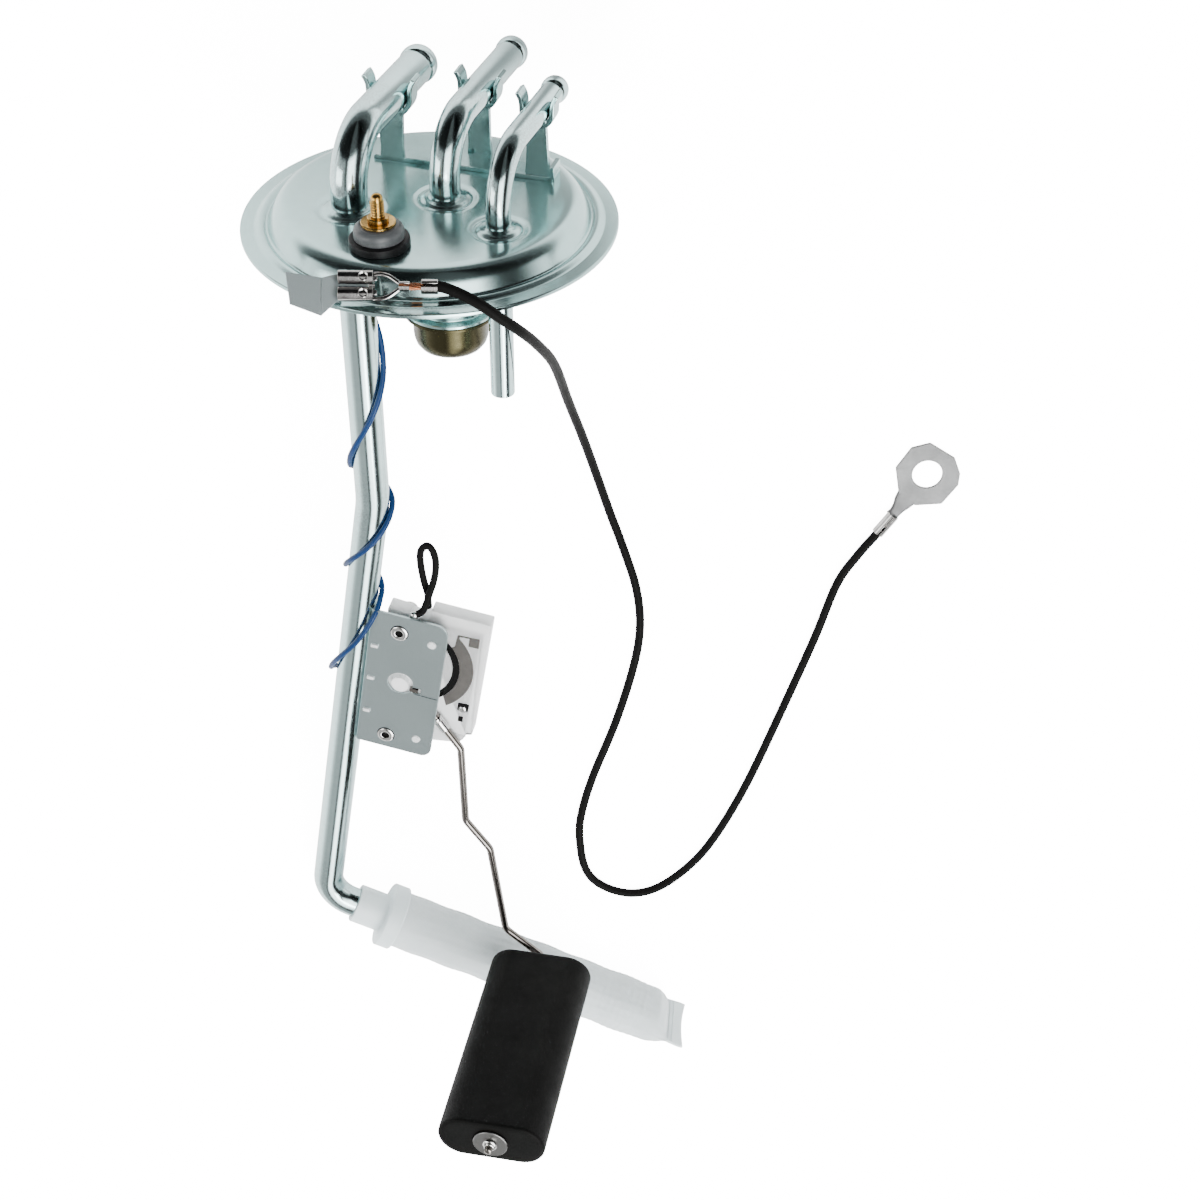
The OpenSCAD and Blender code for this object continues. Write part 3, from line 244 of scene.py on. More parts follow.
# Near-black, for painted shade inside the rivets' bores and a painted shadow ring under their rolled edges.
painted_shade_black = finish("shadowed steel", "sender_steel", (0.004, 0.004, 0.004), (0.002, 0.002, 0.002), (0.6, 0.7),
                     cloud=(200, 3), grain=(3000, 6), Specular_IOR_Level=0.05)
tin = finish("tin plate", "tinned", (0.5, 0.49, 0.475), (0.34, 0.335, 0.325), (0.1, 0.22),
             metal=1, cloud=(400, 3), grain=(3000, 10))
flat_grey = finish("plain grey plating", "tab_steel", (0.39, 0.45, 0.46), (0.33, 0.385, 0.39), (0.38, 0.48),
                   metal=0.85, cloud=(90, 1.6), grain=(3800, 6))
ring_grey = finish("ring terminal tin", "tinned", (0.125, 0.127, 0.127), (0.1, 0.102, 0.102), (0.42, 0.54),
                   metal=0.9, cloud=(120, 2), grain=(2600, 12))
brass = finish("machined brass", "brass", (0.5, 0.31, 0.09), (0.28, 0.16, 0.04), (0.16, 0.3),
               metal=1, cloud=(500, 3), grain=(2600, 10))
yellow_zinc = finish("yellow passivate", "yellow_zinc", (0.056, 0.051, 0.026), (0.034, 0.03, 0.015), (0.2, 0.34),
                     metal=1, cloud=(110, 2.4), grain=(4200, 10))
copper = finish("copper strands", "copper", (0.46, 0.19, 0.1), (0.26, 0.1, 0.05), (0.22, 0.36),
                metal=1, cloud=(600, 3), grain=(3000, 8))
seal_rubber = finish("seal rubber", "seal_rubber", (0.006, 0.006, 0.0065), (0.003, 0.003, 0.0035), (0.4, 0.56),
                     cloud=(160, 3), grain=(2600, 20), Specular_IOR_Level=0.2)
float_foam = finish("float foam", "float_rubber", (0.0034, 0.0034, 0.0031), (0.0018, 0.0018, 0.0016), (0.5, 0.66),
                    cloud=(120, 2.5), grain=(3400, 30), Specular_IOR_Level=0.06)
grey_nylon = finish("grey nylon", "grey_nylon", (0.085, 0.092, 0.095), (0.06, 0.065, 0.068), (0.3, 0.42),
                    cloud=(120, 2), grain=(1800, 10), Specular_IOR_Level=0.35)
white_plastic = finish("white plastic", "white_plastic", (0.86, 0.87, 0.87), (0.81, 0.825, 0.83), (0.32, 0.42),
                       cloud=(60, 2), grain=(1500, 6), Specular_IOR_Level=0.3, Subsurface_Weight=0.6,
                       Subsurface_Radius=(0.006, 0.006, 0.006), Subsurface_Scale=1)
card_ceramic = finish("card ceramic", "ceramic", (0.8, 0.81, 0.81), (0.745, 0.755, 0.76), (0.48, 0.6),
                      cloud=(90, 2), grain=(2600, 6), Specular_IOR_Level=0.2)
grey_ink = finish("grey track ink", "track_ink", (0.082, 0.078, 0.073), (0.062, 0.059, 0.055), (0.34, 0.5),
                  cloud=(500, 3), grain=(6000, 6), Specular_IOR_Level=0.2)
black_ink = finish("black track ink", "track_ink", (0.003, 0.003, 0.003), (0.002, 0.002, 0.002), (0.2, 0.32),
                   cloud=(500, 3), grain=(6000, 6), Specular_IOR_Level=0.15)
black_pvc = finish("black insulation", "black_pvc", (0.0072, 0.0071, 0.0069), (0.0052, 0.0051, 0.005), (0.36, 0.5),
                   cloud=(140, 2.5), grain=(900, 10), Specular_IOR_Level=0.04, IOR=1.3)
blue_pvc = finish("blue insulation", "blue_pvc", (0.005, 0.03, 0.105), (0.0032, 0.02, 0.075), (0.26, 0.38),
                  cloud=(180, 2.5), grain=(900, 10), Specular_IOR_Level=0.14)
clear_nylon = finish("translucent nylon", "clear_nylon", (0.77, 0.86, 0.875), (0.71, 0.8, 0.815), (0.3, 0.42),
                     cloud=(60, 2), grain=(1500, 6), Specular_IOR_Level=0.35, Subsurface_Weight=0.3,
                     Subsurface_Radius=(0.003, 0.003, 0.003), Subsurface_Scale=1)
print("materials:", len(bpy.data.materials))

# %% [markdown]
# Helpers that turn drawing numbers into closed meshes. `add_piece` writes the mesh in metres, in the
# row's frame, with its origin at zero, smooths what is round and keeps what is sharp. `dress` gives it
# a finish, rounds its edges, says which body it rides on, and hides the CAD node it stands for.

# %% Mesh helpers
def polar(r, degrees, x=0.0, y=0.0):
    """The point at a distance and an angle from another one."""
    return x + r * math.cos(math.radians(degrees)), y + r * math.sin(math.radians(degrees))

def arc(x, y, r, start, end, parts=60):
    return [polar(r, start + (end - start) * k / parts, x, y) for k in range(parts + 1)]

def circle(x, y, r, sides=48):
    return arc(x, y, r, 0.0, 360.0, sides)[:-1]

def dress(piece, material, body="unit", slot=None, cad=None, bevel=0.0, segments=2):
    """Weighs the normals as well, so that flat faces look flat, and keeps the result as a plain mesh."""
    piece.data.materials.append(material)
    if bevel:
        edge_round = piece.modifiers.new("rounded edges", "BEVEL")
        edge_round.width = bevel * MM
        edge_round.segments = segments
        edge_round.limit_method = "ANGLE"
        edge_round.angle_limit = math.radians(35)
    piece.modifiers.new("even normals", "WEIGHTED_NORMAL").keep_sharp = True
    rough_mesh = piece.data
    piece.data = bpy.data.meshes.new_from_object(piece.evaluated_get(bpy.context.evaluated_depsgraph_get()))
    piece.data.name = piece.name
    piece.modifiers.clear()
    bpy.data.meshes.remove(rough_mesh)
    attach(piece, body)
    if cad:
        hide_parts(cad)
    return piece

def add_piece(name, verts, faces, space, material, sharp=35, doubles=False, uvs=None, **facts):
    mesh = bpy.data.meshes.new(name)
    m = space if space is not None else Matrix.Identity(4)
    mesh.from_pydata([tuple((m @ Vector(v)) * MM) for v in verts], [], [tuple(f) for f in faces])
    if uvs is not None:
        layer = mesh.uv_layers.new(name="along")
        for loop in mesh.loops:
            layer.data[loop.index].uv = uvs[loop.vertex_index]
    bm = bmesh.new()
    bm.from_mesh(mesh)
    if doubles:
        bmesh.ops.remove_doubles(bm, verts=bm.verts, dist=1e-6)
    bmesh.ops.recalc_face_normals(bm, faces=bm.faces)
    bm.to_mesh(mesh)
    bm.free()
    mesh.shade_smooth()
    mesh.set_sharp_from_angle(angle=math.radians(sharp))
    piece = bpy.data.objects.new(name, mesh)
    bpy.context.scene.collection.objects.link(piece)
    return dress(piece, material, **facts)

def ring_faces(count, sides, closed_loop=False):
    """Quads between neighbouring rings of points."""
    faces = []
    for i in range(count if closed_loop else count - 1):
        j = (i + 1) % count
        for k in range(sides):
            n = (k + 1) % sides
            faces.append((i * sides + k, i * sides + n, j * sides + n, j * sides + k))
    return faces

def lathe(name, profile, space, material, sides=96, **facts):
    """A solid of revolution from (radius, height) points that run once round its wall."""
    verts = [
        (r * math.cos(2 * math.pi * k / sides), r * math.sin(2 * math.pi * k / sides), z)
        for r, z in profile for k in range(sides)
    ]
    return add_piece(name, verts, ring_faces(len(profile), sides, True), space, material, doubles=True, **facts)

print("mesh helpers ready")

# %% [markdown]
# Tubes, rods and wires are a round section carried along a path. `bent_path` draws it like a pipe bender,
# with straight runs and round bends. `smooth_curve` draws it through points, on the curve of the CAD wires.

# %% Path helpers
def bent_path(corners, bends, step=4.0, arc_step=5.0):
    """Points and headings along straight runs joined by round bends."""
    corners = [Vector(c) for c in corners]
    stations = []
    start = corners[0]
    for i in range(1, len(corners)):
        u = (corners[i] - corners[i - 1]).normalized()
        last = i == len(corners) - 1
        if last:
            stop, angle = corners[i], 0
        else:
            v = (corners[i + 1] - corners[i]).normalized()
            angle = u.angle(v)
            stop = corners[i] - u * bends[i - 1] * math.tan(angle / 2)
        run = (stop - start).length
        parts = max(1, int(round(run / step)))
        stations += [(start + (stop - start) * k / parts, u) for k in range(parts)]
        if last:
            stations.append((stop, u))
            break
        axis = u.cross(v).normalized()
        middle = corners[i] + (v - u).normalized() * bends[i - 1] / math.cos(angle / 2)
        parts = max(2, int(math.degrees(angle) / arc_step))
        for k in range(parts):
            spin = Matrix.Rotation(angle * k / parts, 3, axis)
            stations.append((middle + spin @ (stop - middle), spin @ u))
        start = middle + Matrix.Rotation(angle, 3, axis) @ (stop - middle)
    return stations

def rings_along(stations, radii, sides):
    """Rings of points round a path; the direction to a ring's first point is carried along without twist."""
    side, verts = Vector((0.1, 0.2, 1)), []
    for (at, heading), r in zip(stations, radii):
        side = (side - heading * side.dot(heading)).normalized()
        up = heading.cross(side)
        for k in range(sides):
            a = 2 * math.pi * k / sides
            verts.append(at + (side * math.cos(a) + up * math.sin(a)) * r)
    return verts

def bar(name, stations, radius, space, material, sides=24, **facts):
    """A solid round bar along a path, its ends closed by a small dome."""
    radii = [radius] * len(stations)
    (a, ha), (b, hb) = stations[0], stations[-1]
    dome = [(0.0, 0.02), (0.12, 0.5), (0.3, 0.8), (0.6, 0.97)]
    front = [(a + ha * radius * d * 0.5, ha) for d, _ in dome]
    back = [(b - hb * radius * d * 0.5, hb) for d, _ in reversed(dome)]
    stations = front + stations[1:-1] + back
    radii = [radius * s for _, s in dome] + radii[1:-1] + [radius * s for _, s in reversed(dome)]
    verts = rings_along(stations, radii, sides)
    faces = ring_faces(len(stations), sides)
    faces.append(tuple(range(sides)))
    faces.append(tuple(reversed(range(len(verts) - sides, len(verts)))))
    return add_piece(name, verts, faces, space, material, **facts)

def smooth_curve(points, parts):
    p = [Vector(q) for q in points]
    out = []
    for i in range(len(p) - 1):
        a, b, c, d = p[max(i - 1, 0)], p[i], p[i + 1], p[min(i + 2, len(p) - 1)]
        for k in range(parts):
            t = k / parts
            square, cube = (2 * a - 5 * b + 4 * c - d) * t ** 2, (3 * b - a - 3 * c + d) * t ** 3
            out.append((2 * b + (c - a) * t + square + cube) / 2)
    out.append(p[-1])
    return out

def headed(points):
    """Adds headings to bare points."""
    p = [Vector(q) for q in points]
    last = len(p) - 1
    return [(p[i], (p[min(i + 1, last)] - p[max(i - 1, 0)]).normalized()) for i in range(last + 1)]

print("path helpers ready")

# %% [markdown]
# Sheet metal is either a flat blank, cut out with its holes by `plate`, or a strip that `ribbon` bends.

# %% Sheet helpers
def bare_shape(holder, unit=1):
    """The points and faces that an object's curve or node tree makes."""
    bpy.context.scene.collection.objects.link(holder)
    bpy.context.view_layer.update()
    made = bpy.data.meshes.new_from_object(holder.evaluated_get(bpy.context.evaluated_depsgraph_get()))
    bpy.data.objects.remove(holder)
    verts = [tuple(v.co / unit) for v in made.vertices]
    faces = [tuple(p.vertices) for p in made.polygons]
    bpy.data.meshes.remove(made)
    return verts, faces

def plate(name, loops, thick, space, material, bevel=0.15, resolution=3, **facts):
    """A flat plate of any outline, with holes: a 2D curve, filled, thickened and edge-rounded."""
    curve = bpy.data.curves.new(name, "CURVE")
    curve.dimensions = "2D"
    curve.fill_mode = "BOTH"
    curve.extrude = thick / 2 - bevel
    curve.bevel_depth = bevel
    curve.bevel_resolution = resolution
    curve.offset = -bevel
    for loop in loops:
        spline = curve.splines.new("POLY")
        spline.points.add(len(loop) - 1)
        for point, (x, y) in zip(spline.points, loop):
            point.co = (x, y, 0, 1)
        spline.use_cyclic_u = True
    return add_piece(name, *bare_shape(bpy.data.objects.new(name, curve)), space, material, doubles=True, **facts)

def rectangle(x0, y0, x1, y1):
    return [(x0, y0), (x1, y0), (x1, y1), (x0, y1)]

def round_corners(points, radii, parts=5):
    """Replaces the corners of a closed outline by arcs."""
    out, n = [], len(points)
    for i, r in enumerate(radii if isinstance(radii, (list, tuple)) else [radii] * n):
        p = Vector(points[i])
        a, b = Vector(points[i - 1]) - p, Vector(points[(i + 1) % n]) - p
        half = a.angle(b) / 2 if r > 0 else 0
        if r <= 0 or half < 0.05 or abs(half - math.pi / 2) < 0.02:
            out.append(tuple(p))
            continue
        cut = min(r / math.tan(half), a.length * 0.49, b.length * 0.49)
        r = cut * math.tan(half)
        centre = p + (a.normalized() + b.normalized()).normalized() * (r / math.sin(half))
        s, e = p + a.normalized() * cut - centre, p + b.normalized() * cut - centre
        sweep = s.angle_signed(e)
        for k in range(parts + 1):
            w = s.copy()
            w.rotate(Matrix.Rotation(-sweep * k / parts, 2))
            out.append(tuple(centre + w))
    return out

def ribbon(name, path, thick, width, space, material, **facts):
    """A bent strip: a centre line in X and Y, thickened, and as wide as it is long along Z."""
    p = [Vector(q) for q in path]
    n = len(p)
    left, right = [], []
    for i in range(n):
        t = (p[min(i + 1, n - 1)] - p[max(i - 1, 0)]).normalized()
        side = Vector((-t.y, t.x)) * thick / 2
        left.append(p[i] + side)
        right.append(p[i] - side)
    outline = left + right[::-1]
    count = len(outline)
    verts = [(*q, z) for z in (0, width) for q in outline]
    faces = []
    for i in range(n - 1):
        j = count - 1 - i
        faces.append((i, i + 1, j - 1, j))
        faces.append((i + count, j + count, j - 1 + count, i + 1 + count))
    for i in range(count):
        k = (i + 1) % count
        faces.append((i, i + count, k + count, k))
    return add_piece(name, verts, faces, space, material, **facts)

print("sheet helpers ready")

# %% [markdown]
# The ground wire is the one free cord. The photograph shows it from the spade connector to the ring
# terminal: it falls from the rim to the bench and lies there in a loose S. A stiff PVC lead keeps
# wide bends, so the route is one smooth curve through the points that the CAD uses.

# %% Ground wire
spade_at = Vector((-14.5, 6.5 - rim_r, 5.1))
spade_tilt = math.radians(51)
connector_l = 8.4
crimp_x, crimp_z, crimp_l = connector_l / 2 + 11.4, 1.2, 4.0
wire_r = 1.35
spade_space = flange_space @ Matrix.Translation(spade_at) @ Matrix.Rotation(spade_tilt, 4, "X")
ring_at, ring_turn, ring_reach = Vector((127.2, 38, 0)), math.radians(54.5), 24.0
ring_dir = Vector((math.cos(ring_turn), math.sin(ring_turn), 0))
barrel_z = wire_r + 0.5
ground_route = [
    (-4.4, 127.5, 92.6), (0.6, 125.4, 94.4), (5.3, 121.8, 93.8), (9.8, 117.2, 90.2), (13.8, 109.2, 79.4),
    (17.4, 96.8, 61.6), (20.6, 75.8, 36.4), (24.6, 57, 19.4), (28.4, 40.6, 8.6), (32.4, 25.6, 2.6), (36.8, 12.4, 1.4),
    (40.8, -1, 1.4), (42.2, -14, 1.4), (40.6, -28, 1.4), (35.2, -49, 1.4), (28, -70, 1.4), (24.4, -84, 1.4),
    (23.6, -94, 1.4), (25.6, -107, 1.4), (31.4, -114, 1.4), (41, -117, 1.4), (50.6, -114, 1.4), (61, -104.4, 1.4),
    (69, -92, 1.4), (78, -72, 1.4), (87.6, -45, 1.4), (96.6, -18.4, 1.4), (102.4, 1, 1.5), (108, 11, 1.7),
]
crimp_points = [spade_space @ Vector((x, 0, crimp_z)) for x in (crimp_x + 1, crimp_x + crimp_l + 0.5)]
ring_points = [ring_at - ring_dir * (ring_reach + back) + Vector((0, 0, barrel_z)) for back in (0.8, -2)]
ground_line = smooth_curve(crimp_points + ground_route + ring_points, 6)
ground_wire = bar("ground_lead", headed(ground_line), wire_r, None, black_pvc, sides=20, cad="ground_wire")

# %% [markdown]
# The ring terminal is stamped from tinned sheet: an uneven eight-sided tongue round the hole, and a
# barrel rolled and crimped round the bared end of the wire.

# %% Ring terminal
ring_outline = [
    (117.6, 40.0), (121.8, 46.6), (127.3, 48.2), (135.0, 43.4), (137.0, 38.4), (136.8, 34.6), (132.3, 28.3),
    (124.3, 27.7), (119.2, 31.2),
]
tongue = plate("ring_tongue", [round_corners(ring_outline, 1.0), circle(127.2, 38, 4.5)], 0.9, shift(0, 0, 0.45),
               ring_grey, bevel=0.12, cad="ring_terminal")
ring_space = Matrix.Translation(ring_at) @ Matrix.Rotation(ring_turn, 4, "Z")
neck_rows = [(-16.6, 1.9, 0.95, 0.95), (-15.4, 1.75, 0.9, 1.2), (-13.5, 2.1, 0.8, 1.0), (-11.5, 3.0, 0.55, 0.6),
             (-9.0, 3.6, 0.45, 0.46)]
verts, sides = [], 16
for x, half, thick, z in neck_rows:
    for k in range(sides):
        a = 2 * math.pi * k / sides
        verts.append((x, half * math.copysign(abs(math.cos(a)) ** 0.5, math.cos(a)),
                      max(0.02, z + thick * math.copysign(abs(math.sin(a)) ** 0.7, math.sin(a)))))
ends = [tuple(range(sides)), tuple(range(len(verts) - 1, len(verts) - sides - 1, -1))]
faces = ring_faces(len(neck_rows), sides) + ends
ring_neck = add_piece("ring_neck", verts, faces, ring_space, ring_grey, sharp=60)
barrel_path = [polar(barrel_z * 0.86, a, 0, barrel_z) for a in range(102, 439, 12)]
barrel_space = ring_space @ shift(-23.6, 0, 0) @ aimed((0, 0, 0), (1, 0, 0), (0, 1, 0))
ring_barrel = ribbon("ring_barrel", barrel_path, 0.5, 7.6, barrel_space, tin, bevel=0.1)
print("ring terminal at", tuple(round(c, 1) for c in ring_at))

# %% [markdown]
# The cover is deep-drawn from one steel sheet: a flat rim for the lock ring, a bead, a steep wall and
# a flat top. Each tube is brazed into a small pressed ring of its own. One height function over a
# polar grid gives the top, and the underside follows it one sheet thickness below.

# %% Mounting flange
top_profile = [
    (36.2, 7.14), (37.2, 6.92), (38.1, 6.5), (38.9, 5.9), (39.6, 5.1), (40.2, 4.1), (40.75, 3.0), (41.15, 2.1),
    (41.45, 1.62), (41.75, 1.5), (42.05, 1.66), (42.4, 1.9), (42.8, 2.02), (43.3, 2.02), (43.8, 1.86), (44.3, 1.52),
    (44.75, 1.28), (45.2, 1.2), (48.2, 1.2), (48.42, 1.1), (48.5, 0.9),
]
under_profile = [
    (48.5, 0.3), (48.42, 0.08), (48.2, 0), (44, 0), (40.6, 0), (40.2, 0.2), (39.9, 1.0), (39.2, 2.8), (38.4, 4.4),
    (37.3, 5.4), (36.2, 5.85), (35.2, 6.0),
]
pressing = [(0, 1.0), (0.35, 0.62), (0.8, 0.5), (1.3, 0.44), (1.7, 0.22), (2.2, -0.16), (2.8, -0.34), (3.4, -0.3),
            (3.9, -0.12), (4.4, 0.0)]
tube_places = [(supply_x, supply_y, supply_r), (return_x, return_y, return_r), (vent_x, vent_y, vent_r)]

def pressed(x, y):
    """How far the rings round the tubes lift or sink the top."""
    lift = 0.0
    for tx, ty, tr in tube_places:
        d = math.hypot(x - tx, y - ty) - tr
        if d < 4.4:
            lift += float(np.interp(max(d, 0.0), *zip(*pressing)))
    return lift

flange_sides, under_h = 288, top_h - sheet_t
fine_radii = [r * 0.55 for r in range(1, 64)]
rows = [(r, top_h) for r in [0.02] + fine_radii] + top_profile + under_profile
rows += [(r, under_h) for r in fine_radii[3::4][::-1] + [0.02]]
verts = []
for r, z in rows:
    for k in range(flange_sides):
        a = 2 * math.pi * k / flange_sides
        x, y = r * math.cos(a), r * math.sin(a)
        verts.append((x, y, z + (pressed(x, y) if r < 35 else 0)))
add_piece("flange_sheet", verts, ring_faces(len(rows), flange_sides, True), flange_space, zinc, doubles=True,
          cad="mounting_flange", sharp=50)
print("flange rows:", len(rows))

# %% [markdown]
# The three lines are drawn steel tube, bent cold round a former. Near its open end each has a rolled
# bead that keeps a hose clamp from slipping off, with a shallow turned groove behind it. The outside and
# the bore are one closed skin; an attribute marks the bends, which get a darker speckled colour, a painted dark
# reflection.

# %% Fuel tubes
painted_bend_zinc = tube_zinc.copy()
painted_bend_zinc.name = "zinc tube with painted dark bends"
slot_of[painted_bend_zinc.name] = slot_of[tube_zinc.name]
tree = painted_bend_zinc.node_tree
# The bends get a darker speckled colour: a painted dark reflection.
bend_mark = add_node(tree, "ShaderNodeAttribute", {"attribute_name": "bend"}).outputs["Fac"]
grain = group_node(tree, mottle, "Mask", Scale=2200, Contrast=7)
dull = times(tree, times(tree, bend_mark, grain), 0.5)
stain(tree, dull, (0.26, 0.30, 0.30))

def fuel_tube(name, corners, bends, r, node):
    """One closed skin: the hose bead, the outside, the square end, and the bore back to the start."""
    stations = bent_path(corners, bends, step=7)
    start, u = stations[0]
    head = [(0, -0.6), (0.12, -0.3), (0.4, 0), (0.9, 0.24), (1.6, 0.4), (2.4, 0.45), (3.2, 0.4), (3.8, 0.22),
            (4.15, 0), (4.35, -0.22), (4.6, -0.3), (4.85, -0.18), (5.1, 0), (5.6, 0), (7, 0)]
    kept = [s for s in stations if (s[0] - start).dot(u) > 8 or s[1].dot(u) < 0.999]
    line = [(start + u * d, u) for d, _ in head] + kept
    outer = [r + lift for _, lift in head] + [r] * len(kept)
    end, v = line[-1]
    line[-1:] = [(end - v * 0.2, v), (end - v * 0.06, v), (end, v)]
    outer[-1:] = [r, r - 0.04, r - 0.16]
    bore = r - 0.9
    back = [line[-1], (end - v * 0.3, v)] + list(reversed(kept[:-1])) + [(start + u * 0.3, u), line[0]]
    every, sides = line + back, 48
    verts = rings_along(every, outer + [bore + 0.12] + [bore] * (len(back) - 2) + [bore + 0.12], sides)
    tube = add_piece(name, verts, ring_faces(len(every), sides, True), flange_space, painted_bend_zinc, cad=node, sharp=40)
    # The bend mark places the painted dark reflection on the bends.
    marks = tube.data.attributes.new("bend", "FLOAT", "POINT")
    for i in range(len(every)):
        near = [every[j][1].angle(every[i][1]) for j in range(max(0, i - 2), min(len(every), i + 3))]
        value = min(1.0, max(near) * 8) if i < len(line) else 0.0
        for k in range(sides):
            marks.data[i * sides + k].value = value

hose_bend = 14
tube_runs = {
    "supply": (50, [kink, elbow, elbow + strainer_dir * (collar_at + 2)], [hose_bend, 30, 12]),
    "return": (52, [(return_x, return_y, -8.5)], [hose_bend]),
    "vent": (45, [(vent_x, vent_y, -41)], [hose_bend]),
}
for (name, (reach, lower_run, bends)), (x, y, r) in zip(tube_runs.items(), tube_places):
    top = Vector((x, y, hose_h))
    fuel_tube(f"{name}_line", [top + hose_dir * reach, top, *lower_run], bends, r, f"{name}_tube")
print("tubes done")

# %% [markdown]
# The bracket that keeps the hoses apart is one pressed strip, projection-welded to the cover. Three arms
# rise from it, and each ends in an open trough whose two prongs spread to take the tube from above.

# %% Tube bracket
bracket_t, strip_w, strip_y, saddle_w, arm_w, middle_back = 1.3, 7.0, 15.8, 5.0, 6.8, 8.5
strip_turn = math.radians(15)
strip_space = flange_space @ Matrix.Rotation(-strip_turn, 4, "Z") @ shift(0, strip_y, top_h)
strip_outline = [
    (-21, 0), (28.5, 0), (28.5, strip_w - 1), (27.5, strip_w), (4.3 + arm_w, strip_w),
    (4.3 + arm_w, middle_back + bracket_t), (4.3, middle_back + bracket_t), (4.3, strip_w), (-18, strip_w),
    (-21, strip_w - 3),
]
bracket_look = dict(material=zinc, cad="tube_bracket")
plate("bracket_strip", [round_corners(strip_outline, 0.7)], bracket_t, strip_space @ shift(0, 0, bracket_t / 2),
      bevel=0.2, **bracket_look)
stop_x, stop_r, stop_h = 26.9, 0.95, 4.0
turns = [math.radians(a) for a in range(0, 91, 10)]
corner_path = [(stop_x + stop_r * math.sin(a), bracket_t / 2 + stop_r * (1 - math.cos(a))) for a in turns]
corner_path += [(27.85, stop_h)]
ribbon("bracket_stop", corner_path, bracket_t, strip_w - 1,
       strip_space @ shift(0, strip_w - 1, 0) @ Matrix.Rotation(math.pi / 2, 4, "X"), bevel=0.2, **bracket_look)
weld_rise = [(0.01, -0.12), (1.1, -0.1), (1.5, 0.04), (1.9, -0.02), (1.9, -0.4), (0.01, -0.4)]
for i, x in enumerate((-12, 1.5, 17)):
    lathe(f"bracket_weld_{i + 1}", [(r, bracket_t + rise) for r, rise in weld_rise],
          strip_space @ shift(x, strip_w / 2, 0), zinc, sides=32)
for name, (tx, ty, tr), back in zip(("supply", "return", "vent"), tube_places, (0, middle_back, 1)):
    along = tx * math.cos(strip_turn) - ty * math.sin(strip_turn)
    behind = strip_y + back + saddle_w / 2 - tx * math.sin(strip_turn) - ty * math.cos(strip_turn)
    cross_x = along + behind * math.tan(math.radians(3))
    r = tr + 0.2
    mid_r = r + bracket_t / 2
    h = hose_h - top_h
    here = strip_space @ shift(cross_x, back + saddle_w, 0) @ Matrix.Rotation(math.pi / 2, 4, "X")
    prong = [(0, 0.9), (0.04, 1.8), (0.2, 2.8), (0.6, 3.8), (1.2, 4.8)]
    path = [(-mid_r - dx, h + dy) for dx, dy in reversed(prong)]
    path += arc(0, h, mid_r, 180, 360, 18)
    path += [(mid_r + dx, h + dy) for dx, dy in prong]
    ribbon(f"bracket_{name}_trough", path, bracket_t, saddle_w, here, bevel=0.28, segments=3, **bracket_look)
    foot = [(-arm_w / 2, 0.1), (arm_w / 2, 0.1), (arm_w / 2 - 0.3, 4), (r * 0.75, h - r * 0.5),
            (-r * 0.75, h - r * 0.5), (-arm_w / 2 + 0.3, 4)]
    plate(f"bracket_{name}_arm", [foot], bracket_t, here @ shift(0, 0, saddle_w - bracket_t / 2), bevel=0.2,
          **bracket_look)
print("bracket done")

# %% [markdown]
# What repeats at an even pitch is one ring copied by Geometry Nodes, as the turns of the stud's thread are.
# `Rings`, `Pitch`, `Radius` and `Wire` are named inputs, so a longer stud is one number away.

# %% Repeated rings
def rings_group(name, material):
    group = bpy.data.node_groups.new(name, "GeometryNodeTree")
    for label, kind, value in (("Rings", "Int", 10), ("Pitch", "Float", 0.0007), ("Radius", "Float", 0.0018),
                               ("Wire", "Float", 0.0003)):
        group.interface.new_socket(label, in_out="INPUT", socket_type="NodeSocket" + kind).default_value = value
    group.interface.new_socket("Geometry", in_out="OUTPUT", socket_type="NodeSocketGeometry")

    def add(kind, **inputs):
        return add_node(group, kind, **inputs).outputs[0]

    given = add_node(group, "NodeGroupInput").outputs
    ring = add("GeometryNodeCurvePrimitiveCircle", Resolution=48, Radius=given["Radius"])
    section = add("GeometryNodeCurvePrimitiveCircle", Resolution=8, Radius=given["Wire"])
    skin = add("GeometryNodeCurveToMesh", Curve=ring, Profile_Curve=section)
    step = add("ShaderNodeCombineXYZ", Z=given["Pitch"])
    line = add("GeometryNodeMeshLine", Count=given["Rings"], Offset=step)
    copies = add("GeometryNodeInstanceOnPoints", Points=line, Instance=skin)
    real = add("GeometryNodeRealizeInstances", Geometry=copies)
    add_node(group, "NodeGroupOutput", Geometry=add("GeometryNodeSetMaterial", Geometry=real, Material=material))
    return group

def grown(name, group, space, material, **values):
    """Runs a Geometry Nodes tree and keeps its result as a plain mesh, set in place."""
    holder = bpy.data.objects.new(name, bpy.data.meshes.new(name + ".seed"))
    mod = holder.modifiers.new("grown", "NODES")
    mod.node_group = group
    for item in group.interface.items_tree:
        if item.item_type == "SOCKET" and item.in_out == "INPUT" and item.name in values:
            mod[item.identifier] = values[item.name]
    return add_piece(name, *bare_shape(holder, MM), space, material, sharp=40)

stud_threads = rings_group("stud threads", brass)
print("inputs:", [i.name for i in stud_threads.interface.items_tree])

# %% [markdown]
# The sender's live wire leaves the tank through an insulated stud: a rubber seal on the sheet, a grey
# nylon bush, a brass washer and nut, and the threaded brass stud.

